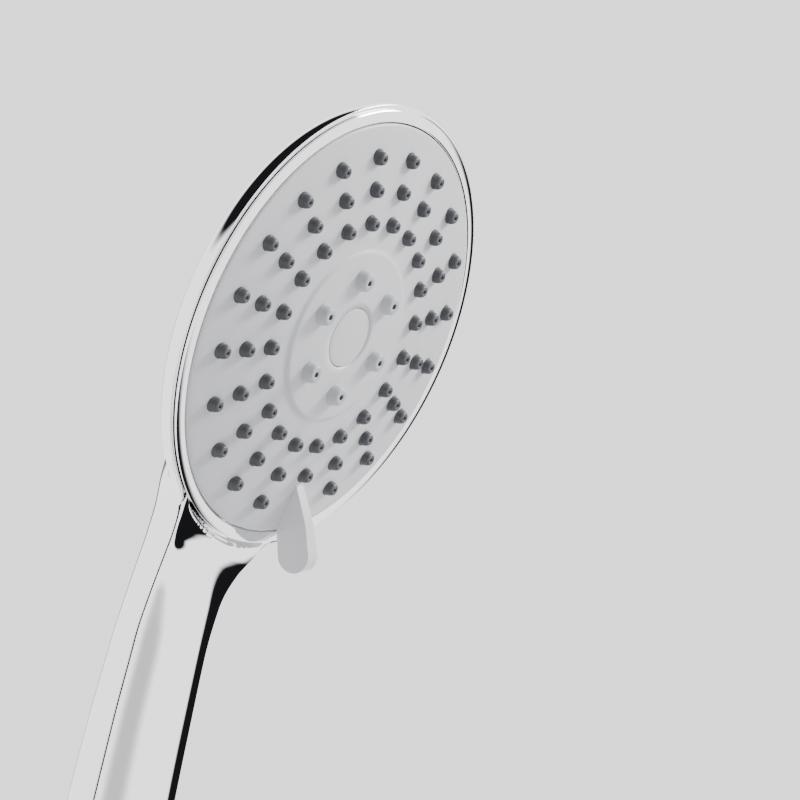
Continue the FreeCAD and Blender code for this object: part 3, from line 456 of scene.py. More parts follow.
@dataclass
class Finishes:
    """Every finish of the object, built once."""

    chrome: bpy.types.Material
    face_white: bpy.types.Material
    lever_white: bpy.types.Material
    rubber_dark: bpy.types.Material
    rubber_tip: bpy.types.Material
    rubber_pale: bpy.types.Material
    plastic_white: bpy.types.Material
    plastic_grey: bpy.types.Material
    rubber_black: bpy.types.Material
    steel: bpy.types.Material
    nickel_brass: bpy.types.Material

    @classmethod
    def build(cls) -> Finishes:
        """Builds them all.

        Returns:
            The set of materials.
        """
        return cls(
            chrome=Finish(
                "chrome_plating", (0.90, 0.905, 0.915), (0.86, 0.865, 0.88), 0.025, 0.06,
                metallic=1.0, grain_scale=260.0, bump=0.02,
            ).build(),
            face_white=Finish(
                "satin_white_plastic", (0.74, 0.745, 0.76), (0.70, 0.705, 0.725), 0.33, 0.42,
                grain_scale=1500.0, bump=0.05, specular=0.4,
            ).build(),
            lever_white=Finish(
                "polished_white_plastic", (0.80, 0.80, 0.81), (0.77, 0.77, 0.785), 0.20, 0.28,
                grain_scale=1300.0, bump=0.03, coat=0.15,
            ).build(),
            rubber_dark=Finish(
                "dark_silicone", (0.050, 0.051, 0.058), (0.034, 0.036, 0.042), 0.42, 0.60,
                grain_scale=2200.0, bump=0.12,
            ).build(),
            rubber_tip=Finish(
                "silicone_nozzle_rim", (0.085, 0.086, 0.096), (0.060, 0.062, 0.070), 0.36, 0.5,
                grain_scale=2200.0, bump=0.12,
            ).build(),
            rubber_pale=Finish(
                "pale_silicone", (0.56, 0.57, 0.60), (0.50, 0.51, 0.55), 0.38, 0.5,
                grain_scale=2200.0, bump=0.1,
            ).build(),
            plastic_white=Finish(
                "moulded_natural_plastic", (0.80, 0.80, 0.78), (0.74, 0.74, 0.72), 0.45, 0.6,
                grain_scale=1100.0,
            ).build(),
            plastic_grey=Finish(
                "moulded_grey_plastic", (0.40, 0.41, 0.43), (0.34, 0.35, 0.37), 0.42, 0.56,
                grain_scale=1100.0,
            ).build(),
            rubber_black=Finish(
                "black_nitrile_rubber", (0.030, 0.030, 0.032), (0.018, 0.018, 0.02), 0.5, 0.68,
                grain_scale=1900.0, bump=0.15,
            ).build(),
            steel=Finish(
                "plain_steel", (0.62, 0.62, 0.63), (0.52, 0.52, 0.54), 0.22, 0.36,
                metallic=1.0, grain_scale=1600.0, bump=0.06,
            ).build(),
            nickel_brass=Finish(
                "nickelled_brass", (0.76, 0.74, 0.70), (0.68, 0.66, 0.61), 0.14, 0.24,
                metallic=1.0, grain_scale=1200.0, bump=0.05,
            ).build(),
        )

    def dress_nodes(self, frame: dict) -> None:
        """Gives every CAD node that may show the finish of its slot.
        """
        by_slot = {
            "chrome": self.chrome, "face_white": self.face_white, "rubber_dark": self.rubber_dark,
            "rubber_pale": self.rubber_pale, "plastic_white": self.plastic_white,
            "plastic_grey": self.plastic_grey, "rubber_black": self.rubber_black,
            "steel": self.steel, "brass": self.nickel_brass,
        }
        for part in frame["record"]["subparts"]:
            material = by_slot[part["material_slot"]]
            obj = frame["nodes"][part["node"]]
            for child in [obj, *obj.children_recursive]:
                if child.type == "MESH":
                    child.data.materials.clear()
                    child.data.materials.append(material)


# ---------------------------------------------------------------------------------------
# Chromed covers
# ---------------------------------------------------------------------------------------
@dataclass(frozen=True)
class CasingCovers:
    """The two chromed covers: the rear with the head's back, and the front of the handle."""

    head_radius: float = 55.9
    rim_front_w: float = -3.7
    rim_round: float = 7.0
    rim_centre_w: float = -3.3
    back_depth: float = 25.0
    rim_rings: int = 12
    back_rings: int = 40
    # how round the valley between the back and the handle is
    blend: float = 5.0
    # how far the back's points look for the ridge, and how much they lean rearwards
    ridge_reach: float = 30.0
    ridge_lean: float = 1.5
    rear_reach: float = 75.0
    # how far the front stays behind the rim's front edge
    tuck: float = 0.2
    # the rear's outline is an ellipse below slim_from and slimmer above slim_to
    slim_power: float = 1.55
    slim_from: float = 112.0
    slim_to: float = 142.0
    wall: float = 1.8
    seam_round: float = 0.22
    seam_gap: float = 0.45
    handle_low: float = 19.3
    rear_top: float = 176.0
    front_top: float = 147.0
    # rows and columns of the sheets
    rear_grid: tuple[int, int] = (120, 48)
    front_grid: tuple[int, int] = (320, 120)
    near_axis: float = 1e-4
    seam_slack: float = 0.01
    # height, half width, y of the side seam, y of the front, y of the rear
    sections: tuple[tuple[float, float, float, float, float], ...] = (
        (19.3, 11.3, 0.0, -11.3, 11.3),
        (50.0, 12.5, 0.0, -12.2, 12.5),
        (70.0, 13.2, 0.0, -11.2, 12.9),
        (90.0, 13.0, 0.0, -10.4, 12.5),
        (110.0, 12.4, -0.2, -9.9, 11.5),
        (122.0, 13.3, -2.0, -9.6, 10.6),
        (132.0, 16.2, -5.4, -9.1, 9.4),
        (134.5, 17.3, -6.5, -9.25, 9.05),
        (137.0, 18.5, -7.5, -9.9, 8.8),
        (140.0, 20.0, -8.6, -11.5, 8.5),
        (144.0, 22.2, -9.9, -13.6, 8.1),
        (150.0, 25.0, -11.4, -16.0, 7.7),
        (163.0, 26.0, -14.0, -21.0, 7.4),
        (174.0, 22.5, -17.0, -21.5, 7.0),
        (185.0, 17.5, -20.0, -22.0, 3.0),
        (195.0, 12.0, -22.0, -23.5, -3.0),
        (203.0, 8.0, -24.0, -25.0, -9.0),
    )

    def section(self, z: float) -> tuple[float, float, float, float]:
        """Half width, seam, front and rear of the handle at a height.

        Args:
            z: the height.

        Returns:
            The half width, and the y of the seam, the front and the rear.
        """
        columns = list(zip(*self.sections))
        values = [monotone_value(columns[0], column, z) for column in columns[1:]]
        return values[0], values[1], values[2], values[3]

    def back_sphere(self) -> tuple[float, float]:
        """Centre height and radius of the sphere of the head's back.

        Returns:
            Both in head millimetres.
        """
        reach = self.head_radius - self.rim_round
        drop = self.back_depth + self.rim_centre_w
        big = (reach**2 + drop**2 - self.rim_round**2) / (2 * (drop - self.rim_round))
        return big - self.back_depth, big

    def back_gap(self, point: Vector) -> float:
        """Distance of a head point from the head's back, positive outside.

        Args:
            point: the point, in head millimetres.

        Returns:
            The distance in millimetres.
        """
        centre_w, big = self.back_sphere()
        reach = self.head_radius - self.rim_round
        rho = math.hypot(point.x, point.y)
        on_rim = rho * (centre_w - self.rim_centre_w) > reach * (centre_w - point.z)
        if on_rim or point.z > self.rim_centre_w:
            return math.hypot(rho - reach, min(point.z - self.rim_centre_w, 0.0)) - self.rim_round
        return math.hypot(rho, point.z - centre_w) - big

    def handle_gap(self, point: Vector) -> float:
        """Rough distance of a row point from the handle's rear half, positive outside.

        Args:
            point: the point, in row millimetres.

        Returns:
            The distance in millimetres.
        """
        half_width, seam, _, rear = self.section(point.z)
        depth = rear - seam
        share = min(max((point.z - self.slim_from) / (self.slim_to - self.slim_from), 0.0), 1.0)
        power = 2.0 - (2.0 - self.slim_power) * share
        across, along = abs(point.x) / half_width, abs(point.y - seam) / depth
        level = (across**power + along**power) ** (1 / power)
        if level < self.near_axis:
            return -min(half_width, depth)
        slope = math.hypot(across ** (power - 1) / half_width, along ** (power - 1) / depth)
        gap = (level - 1.0) * level ** (power - 1) / slope
        # in front of the seam there is nothing of this half
        if point.y < seam - self.seam_slack:
            gap = max(gap, seam - point.y)
        return gap + max(point.z - self.sections[-1][0], 0.0)

    def shell_gap(self, row_point: Vector, head: HeadFrame) -> float:
        """Distance of a row point from the rear cover with its blend, positive outside.

        Args:
            row_point: the point, in row millimetres.
            head: the head's frame.

        Returns:
            The distance in millimetres.
        """
        return smooth_least(
            self.back_gap(head.to_head(row_point)), self.handle_gap(row_point), self.blend
        )

    def pushed_out(
        self, start: Vector, direction: Vector, gap: Callable[[Vector], float], limit: float
    ) -> Vector | None:
        """Follows a ray from inside to where the gap turns positive.

        Args:
            start: a point on or inside the surface.
            direction: unit vector of the ray.
            gap: signed distance, negative inside.
            limit: how far to look.

        Returns:
            The point on the surface, or None if the ray stays inside.
        """
        travelled, step = 0.0, limit / RAY_STEPS
        while gap(start + direction * travelled) < 0:
            travelled += step
            if travelled > limit:
                return None
        low, high = max(travelled - step, 0.0), travelled
        for _ in range(RAY_HALVINGS):
            middle = (low + high) / 2
            if gap(start + direction * middle) < 0:
                low = middle
            else:
                high = middle
        return start + direction * high

    def back_profile(self) -> list[Point]:
        """Points of the head's back from the front edge, round the rim, to the axis.

        Returns:
            The (r, w) points.
        """
        centre_w, big = self.back_sphere()
        reach = self.head_radius - self.rim_round
        join = math.atan2(centre_w - self.rim_centre_w, reach)
        start = math.asin((self.rim_centre_w - self.rim_front_w) / self.rim_round)
        points = []
        for k in range(self.rim_rings + 1):
            turn = start + (join - start) * k / self.rim_rings
            r = reach + self.rim_round * math.cos(turn)
            points.append((r, self.rim_centre_w - self.rim_round * math.sin(turn)))
        for k in range(1, self.back_rings + 1):
            turn = join + (math.pi / 2 - join) * k / self.back_rings
            points.append((big * math.cos(turn), centre_w - big * math.sin(turn)))
        points[-1] = (0.0, centre_w - big)
        return points

    def head_back(self, head: HeadFrame) -> bmesh.types.BMesh:
        """The head's back with the handle's ridge flowing over it, in the row's millimetres.

        Args:
            head: the head's frame.

        Returns:
            An open sheet with its faces outwards.
        """
        bm = turned(self.back_profile(), steps=TURN_STEPS)
        face_outwards(bm, Vector((0.0, 0.0, self.rim_front_w)))
        to_row = Matrix.Scale(1 / MM, 4) @ head.matrix()
        bm.normal_update()
        rearwards = -head.normal
        moves = {}
        for vert in bm.verts:
            point = to_row @ vert.co
            normal = (to_row.to_3x3() @ vert.normal).normalized()
            if self.shell_gap(point, head) < 0:
                aim = (normal + rearwards * self.ridge_lean).normalized()
                found = self.pushed_out(point, aim, lambda p: self.shell_gap(p, head), self.ridge_reach)
                point = found or point
            moves[vert] = point
        for vert, point in moves.items():
            vert.co = point
        bmesh.ops.recalc_face_normals(bm, faces=bm.faces)
        face_outwards(bm, head.origin / MM)
        return bm

    def handle_sheet(
        self, low: float, high: float, rings: int, around: int, place: Callable[[float, float], Vector]
    ) -> bmesh.types.BMesh:
        """A half tube: a grid whose rows are heights and whose columns run from seam to seam.

        Args:
            low: lowest height.
            high: highest height.
            rings: rows.
            around: columns.
            place: gives the point for a height and a turn from 0 to pi.

        Returns:
            The sheet, with its faces outwards.
        """
        bm = bmesh.new()
        bmesh.ops.create_grid(bm, x_segments=around, y_segments=rings, size=0.5)
        for vert in bm.verts:
            turn = math.pi * (vert.co.x + 0.5)
            vert.co = place(low + (high - low) * (vert.co.y + 0.5), turn)
        bmesh.ops.recalc_face_normals(bm, faces=bm.faces)
        middle = sum((face.normal * face.calc_area() for face in bm.faces), Vector())
        outward = place((low + high) / 2, math.pi / 2) - Vector((0, self.section((low + high) / 2)[1], 0))
        if middle.dot(Vector((0, outward.y, 0))) < 0:
            bmesh.ops.reverse_faces(bm, faces=bm.faces)
        return bm

    def handle_rear(self, head: HeadFrame) -> bmesh.types.BMesh:
        """Rear of the handle, from the ferrule to where the head's back takes over.

        Args:
            head: the head's frame.

        Returns:
            An open sheet with its faces outwards.
        """

        def place(z: float, turn: float) -> Vector:
            """Point of the rear at a height and a turn."""
            half_width, seam, _, rear = self.section(z)
            centre = Vector((0.0, seam, z))
            rim = Vector((half_width * math.cos(turn), (rear - seam) * math.sin(turn), 0.0))
            found = self.pushed_out(
                centre, rim.normalized(), lambda p: self.shell_gap(p, head), self.rear_reach
            )
            return found or centre + rim

        return self.handle_sheet(self.handle_low, self.rear_top, *self.rear_grid, place)

    def handle_front(self, head: HeadFrame) -> bmesh.types.BMesh:
        """Front of the handle, up to the neck, where it flares out under the rim.

        Args:
            head: the head's frame.

        Returns:
            An open sheet with its faces outwards.
        """

        def place(z: float, turn: float) -> Vector:
            """Point of the front at a height and a turn, moved back from the rim."""
            half_width, seam, front, _ = self.section(z)
            point = Vector((half_width * math.cos(turn), seam - self.seam_gap
                            + (front - seam) * math.sin(turn), z))
            local = head.to_head(point)
            clear = max(math.hypot(local.x, local.y) - self.head_radius + self.tuck, 0.0)
            proud = local.z - self.rim_front_w + self.tuck - clear
            if proud > 0:
                point -= head.normal * proud
            return point

        return self.handle_sheet(self.handle_low, self.front_top, *self.front_grid, place)

    def build(self, shop: Workshop, finishes: Finishes) -> None:
        """Builds and dresses the covers.

        Args:
            shop: makes the pieces.
            finishes: the materials.
        """
        sheets = (
            ("head_back_shell", self.head_back, ["rear_cover"]),
            ("handle_rear_shell", self.handle_rear, []),
            ("handle_front_shell", self.handle_front, ["front_cover"]),
        )
        for name, make, replaced in sheets:
            sheet = shop.piece(name, make(shop.head), Body.CASING, [finishes.chrome],
                               replaced, in_head=False)
            shop.thicken(sheet, self.wall, self.seam_round)


@dataclass(frozen=True)
class BezelRing:
    """Bright ring round the spray face."""

    inner: float = 51.9
    outer: float = 54.9
    inner_w: float = -2.35
    outer_w: float = -2.6
    flange_w: float = -3.35
    step_w: float = -3.75
    skirt_outer: float = 52.9
    skirt_inner: float = 52.0
    skirt_w: float = -5.2
    inner_bevel: float = 0.35
    inner_bevel_w: float = 0.2
    outer_bevel: float = 0.25
    crown: float = 0.06
    corner_round: float = 0.4

    def build(self, shop: Workshop, finishes: Finishes) -> None:
        """Builds and dresses the ring.

        Args:
            shop: makes the pieces.
            finishes: the materials.
        """
        corners = [
            (self.inner, self.step_w),
            (self.inner, self.inner_w - self.inner_bevel_w),
            (self.inner + self.inner_bevel, self.inner_w),
            ((self.inner + self.outer) / 2, self.inner_w - self.crown),
            (self.outer - self.outer_bevel, self.outer_w),
            (self.outer, self.outer_w - self.outer_bevel),
            (self.outer, self.flange_w),
            (self.skirt_outer, self.flange_w),
            (self.skirt_outer, self.skirt_w),
            (self.skirt_inner, self.skirt_w),
            (self.skirt_inner, self.step_w),
        ]
        profile = rounded(corners, self.corner_round)
        profile.append(profile[0])
        ring = turned(profile, steps=TURN_STEPS)
        shop.piece("bezel_bright_ring", ring, Body.CASING, [finishes.chrome], ["bezel_ring"])


@dataclass(frozen=True)
class Inlet:
    """Lower end: the chromed ferrule and the inlet with its helical thread."""

    thread_crest: float = 10.478
    thread_root: float = 9.35
    pitch: float = 1.814
    thread_top: float = 11.0
    collar_radius: float = 9.8
    collar_low: float = 11.5
    top: float = 19.0
    bore: float = 8.2
    ferrule_low: float = 11.8
    ferrule_radius: float = 11.3
    ferrule_inner: float = 9.9
    ferrule_round: float = 0.45
    # shares of the pitch that the root's flat (half of it) and one flank take
    root_share: float = 0.08
    flank_share: float = 0.30
    # heights over which the thread rises from and falls to its root
    lead_in: float = 0.7
    lead_out: float = 0.9
    bore_bevel: float = 0.25
    bore_bevel_z: float = 0.4
    end_bevel: float = 0.12
    rows: int = 110
    steps: int = 96

    def ridge(self, turn: float, z: float) -> float:
        """Radius of the thread at a turn in radians and a height.

        Args:
            turn: the turn.
            z: the height.

        Returns:
            The radius in millimetres.
        """
        phase = (z / self.pitch - turn / math.tau) % 1.0
        from_root = 0.5 - abs(phase - 0.5)
        flank = min(max((from_root - self.root_share) / self.flank_share, 0.0), 1.0)
        smooth = flank * flank * (3 - 2 * flank)
        run_out = min(max(z / self.lead_in, 0.0), max((self.thread_top - z) / self.lead_out, 0.0), 1.0)
        return self.thread_root + (self.thread_crest - self.thread_root) * smooth * run_out

    def inlet(self) -> bmesh.types.BMesh:
        """The inlet up to inside the ferrule, in the row's millimetres.

        Returns:
            The closed mesh.
        """
        wall = [(self.thread_root, self.thread_top * k / self.rows) for k in range(1, self.rows + 1)]
        profile = [(self.bore, self.top), (self.bore, self.bore_bevel_z)]
        profile += [(self.bore + self.bore_bevel, 0.0), (self.thread_root - self.end_bevel, 0.0), *wall]
        profile += [(self.thread_root, self.collar_low), (self.collar_radius, self.collar_low)]
        profile += [(self.collar_radius, self.top), (self.bore, self.top)]
        bm = turned(profile, steps=self.steps)
        for vert in bm.verts:
            rho = math.hypot(vert.co.x, vert.co.y)
            if abs(rho - self.thread_root) < 1e-3 and vert.co.z < self.thread_top:
                scale = self.ridge(math.atan2(vert.co.y, vert.co.x), vert.co.z) / rho
                vert.co.x *= scale
                vert.co.y *= scale
        return bm

    def build(self, shop: Workshop, finishes: Finishes) -> None:
        """Builds and dresses the lower end.

        Args:
            shop: makes the pieces.
            finishes: the materials.
        """
        shop.piece("threaded_inlet", self.inlet(), Body.CASING, [finishes.nickel_brass],
                   ["inlet_nipple"], in_head=False)
        corners = [
            (self.ferrule_inner, self.top), (self.ferrule_inner, self.ferrule_low),
            (self.ferrule_radius, self.ferrule_low), (self.ferrule_radius, self.top),
            (self.ferrule_inner, self.top),
        ]
        ring = turned(rounded(corners, self.ferrule_round, 5), steps=self.steps)
        shop.piece("bright_ferrule", ring, Body.CASING, [finishes.chrome],
                   ["end_ferrule"], in_head=False)


# ---------------------------------------------------------------------------------------
# Spray face
# ---------------------------------------------------------------------------------------
@dataclass(frozen=True)
class SprayFace:
    """The white face with its raised disc, its rubber nozzles and the cap in the middle."""

    face_radius: float = 51.6
    face_sphere: float = 250.0
    face_apex: float = 3.25
    skirt_w: float = -3.4
    island_radius: float = 21.0
    island_slope: float = 0.9
    island_sphere: float = 240.0
    island_apex: float = 3.84
    cap_radius: float = 7.3
    cap_gap: float = 0.22
    cap_recess: float = 1.6
    cap_apex: float = 4.05
    cap_sphere: float = 110.0
    cap_round: float = 0.3
    cap_bevel: float = 0.25
    recess_hole: float = 0.6
    recess_round: float = 0.12
    plate_round: float = 0.55
    disc_rings: int = 6
    bank_rings: int = 12
    spokes: int = 20
    rings: tuple[float, ...] = (28.25, 36.3, 44.0)
    lever_angle: float = -69.0
    nozzle_radius: float = 1.8
    nozzle_tip: float = 1.5
    nozzle_rise: float = 2.1
    nozzle_jet: float = 0.45
    massage_count: int = 6
    massage_ring: float = 14.5
    massage_radius: float = 2.55
    massage_tip: float = 2.2
    massage_rise: float = 2.4
    massage_jet: float = 0.7
    nozzle_sides: int = 24
    # a nozzle's foot fillet, the depth that it is sunk, and its bore's depth
    foot_flare: float = 0.28
    foot_sunk: float = 0.6
    bore_depth: float = 1.25
    # share of the tip's radius that its flat top takes
    top_share: float = 0.62

    def face_w(self, r: float) -> float:
        """Height of the face at a radius."""
        return sphere_w(r, self.face_apex, self.face_sphere)

    def island_w(self, r: float) -> float:
        """Height of the raised disc at a radius."""
        return sphere_w(r, self.island_apex, self.island_sphere)

    def plate(self) -> bmesh.types.BMesh:
        """The face, from the cap's recess to the skirt.

        Returns:
            The open mesh of its outer side.
        """
        hole = self.cap_radius + self.cap_gap
        bank = self.island_radius + self.island_slope
        floor = self.island_w(hole) - self.cap_recess
        island = [self.island_radius - (self.island_radius - hole) * k / self.disc_rings
                  for k in range(self.disc_rings, -1, -1)]
        outer = [bank + (self.face_radius - bank) * k / self.bank_rings
                 for k in range(self.bank_rings + 1)]
        edge_w = self.face_w(self.face_radius)
        corners = [(self.recess_hole, floor), (hole, floor), (hole, self.island_w(hole))]
        corners += [(r, self.island_w(r)) for r in island[1:]]
        corners += [(r, self.face_w(r)) for r in outer[:-1]]
        corners += [(self.face_radius, edge_w), (self.face_radius, self.skirt_w)]
        profile = rounded(corners[:3], self.recess_round, 2)[:-1]
        profile += rounded(corners[2:], self.plate_round)
        return turned(profile, steps=TURN_STEPS)

    def nozzle(self, radius: float, tip: float, height: float, jet: float) -> bmesh.types.BMesh:
        """One nozzle that stands on w = 0: a slightly conical stem, a rounded tip and a bore.

        Args:
            radius: radius at the foot.
            tip: radius at the top.
            height: how far it stands out.
            jet: radius of the bore.

        Returns:
            The mesh; faces of the tip's rim have material index 1 and the bore's index 2, whose darker
            finish is painted shade in the hole.
        """
        rim = tip * self.top_share
        foot = [(radius + self.foot_flare, -self.foot_sunk), (radius + self.foot_flare, 0.02),
                (radius + 0.03, 0.2)]
        stem = [(radius - 0.02, height * 0.45), (tip + 0.02, height - 0.5), (tip - 0.12, height - 0.2)]
        crown = [(tip - 0.32, height - 0.06), (rim, height), (jet + 0.12, height - 0.02)]
        floor = height - self.bore_depth
        bore = [(jet, height - 0.14), (jet * 0.9, floor + 0.05), (0.0, floor)]
        bm = turned(foot + stem + crown + bore, steps=self.nozzle_sides)
        for face in bm.faces:
            centre = face.calc_center_median()
            rho = math.hypot(centre.x, centre.y)
            on_top = centre.z > height - 0.16
            # the bore's faces take index 2: a darker finish that is painted shade inside the hole
            if rho < jet * 1.04:
                face.material_index = 2
            elif on_top and rho < tip - 0.15:
                face.material_index = 1
        return bm

    def planted(
        self, source: bmesh.types.BMesh, places: Sequence[Point], surface: Callable[[float], float]
    ) -> bmesh.types.BMesh:
        """Copies a nozzle to each place on the face.

        Args:
            source: the nozzle; it is freed.
            places: radius and angle of each copy.
            surface: height of the surface at a radius.

        Returns:
            One mesh with all the copies.
        """
        bm = bmesh.new()
        for radius, angle in places:
            add_copy(bm, source, Matrix.Translation(polar(radius, angle, surface(radius))))
        source.free()
        return bm

    def rain_places(self) -> list[Point]:
        """Radius and angle of each rain nozzle; the lever takes the place of one.

        Returns:
            The places, ring by ring.
        """
        places = []
        for radius in self.rings:
            for k in range(self.spokes):
                if k or radius != self.rings[-1]:
                    places.append((radius, self.lever_angle + 360.0 * k / self.spokes))
        return places

    def massage_places(self) -> list[Point]:
        """Radius and angle of each massage nozzle."""
        step = 360.0 / self.massage_count
        return [(self.massage_ring, self.lever_angle + step * k) for k in range(self.massage_count)]

    def cap(self) -> bmesh.types.BMesh:
        """The slightly domed cap with a rounded edge.

        Returns:
            The open mesh of its outer side.
        """
        rim = self.cap_radius - self.cap_bevel
        top = [rim * (1 - k / self.disc_rings) for k in range(self.disc_rings + 1)]
        crown = [(r, sphere_w(r, self.cap_apex, self.cap_sphere)) for r in top]
        edge_w = crown[0][1]
        wall = [(self.cap_radius, edge_w - self.cap_recess + self.cap_round)]
        wall += [(self.cap_radius, edge_w - self.cap_round)]
        wall += arc_points(wall[-1], (self.cap_radius, edge_w - 0.02), crown[0], 4)[:-1]
        return turned(wall + crown, steps=96)

    def build(self, shop: Workshop, finishes: Finishes) -> None:
        """Builds and dresses the face.

        Args:
            shop: makes the pieces.
            finishes: the materials.
        """
        shop.piece("spray_face", self.plate(), Body.ENGINE, [finishes.face_white],
                   ["face_plate"])
        rain = self.nozzle(self.nozzle_radius, self.nozzle_tip, self.nozzle_rise, self.nozzle_jet)
        # the third finish of each list goes to the bores, darker than the body: painted shade in the
        # holes
        dark = [finishes.rubber_dark, finishes.rubber_tip, finishes.rubber_black]
        shop.piece("rain_nozzles", self.planted(rain, self.rain_places(), self.face_w), Body.ENGINE,
                   dark, ["rain_nozzle_mat"])
        massage = self.nozzle(self.massage_radius, self.massage_tip, self.massage_rise,
                              self.massage_jet)
        # the pale nozzles' bores take dark silicone as painted shade in the holes
        pale = [finishes.rubber_pale, finishes.rubber_pale, finishes.rubber_dark]
        shop.piece("massage_nozzles", self.planted(massage, self.massage_places(), self.island_w),
                   Body.ENGINE, pale, ["massage_nozzle_mat"])
        shop.piece("cap", self.cap(), Body.ENGINE, [finishes.face_white], ["centre_cap"])


@dataclass(frozen=True)
class Lever:
    """Thumb lever: a flat teardrop that stands on the rim and points at the centre."""

    angle: float = -69.0
    tip_r: float = 39.1
    tip_w: float = 0.2
    round_r: float = 55.2
    round_w: float = 4.4
    round_radius: float = 4.6
    heel: Point = (51.9, -1.7)
    ridge: tuple[Point, ...] = ((43.5, 3.3), (47.2, 5.7))
    tip_half: float = 1.3
    end_half: float = 2.05
    edge_round: float = 0.55
    # the round end's arc: where it starts and how far it turns back, in degrees
    end_from: float = 126.0
    end_sweep: float = 178.0
    end_steps: int = 40
    ridge_steps: int = 24
    foot_steps: int = 12
    # how far the foot stays in from the face's edge, and above the face
    foot_inset: float = 0.5
    foot_rise: float = 0.03

    def outline(self) -> list[Point]:
        """Closed side view in (r, w), from the tip over the ridge and round the end.

        Returns:
            The points, in order.
        """

        def on_round(angle: float) -> Point:
            """Point of the round end at an angle in degrees."""
            turn = math.radians(angle)
            return (self.round_r + self.round_radius * math.cos(turn),
                    self.round_w + self.round_radius * math.sin(turn))

        end = [on_round(self.end_from - self.end_sweep * k / self.end_steps)
               for k in range(self.end_steps + 1)]
        knots = [(self.tip_r, self.tip_w), *self.ridge, end[0]]
        rs, ws = [r for r, _ in knots], [w for _, w in knots]
        upper = []
        for k in range(self.ridge_steps):
            r = rs[0] + (rs[-1] - rs[0]) * k / self.ridge_steps
            upper.append((r, monotone_value(rs, ws, r)))
        face = SprayFace()
        edge = face.face_radius - self.foot_inset
        lower = [self.heel]
        for k in range(self.foot_steps + 1):
            r = edge + (self.tip_r - edge) * k / self.foot_steps
            lower.append((r, face.face_w(r) + self.foot_rise))
        return upper + end + lower

    def blade(self) -> bmesh.types.BMesh:
        """The teardrop plate, thicker towards its round end.

        Returns:
            The closed mesh.
        """
        bm = bmesh.new()
        sides = []
        reach = self.round_r + self.round_radius
        for sign in (-1, 1):
            ring = []
            for r, w in self.outline():
                share = (r - self.tip_r) / (reach - self.tip_r)
                half = self.tip_half + (self.end_half - self.tip_half) * share
                ring.append(bm.verts.new((r, sign * half, w)))
            bm.faces.new(ring)
            sides.append(ring)
        bmesh.ops.bridge_loops(bm, edges=[edge for edge in bm.edges if edge.is_boundary])
        bmesh.ops.rotate(bm, verts=bm.verts, matrix=Matrix.Rotation(math.radians(self.angle), 3, "Z"))
        bmesh.ops.recalc_face_normals(bm, faces=bm.faces)
        return bm

    def build(self, shop: Workshop, finishes: Finishes) -> None:
        """Builds and dresses the lever.

        Args:
            shop: makes the pieces.
            finishes: the materials.
        """
        lever = shop.piece("thumb_lever", self.blade(), Body.ENGINE, [finishes.lever_white],
                           ["selector_lever"])
        shop.round_edges(lever, self.edge_round, segments=4, sharp=60.0)


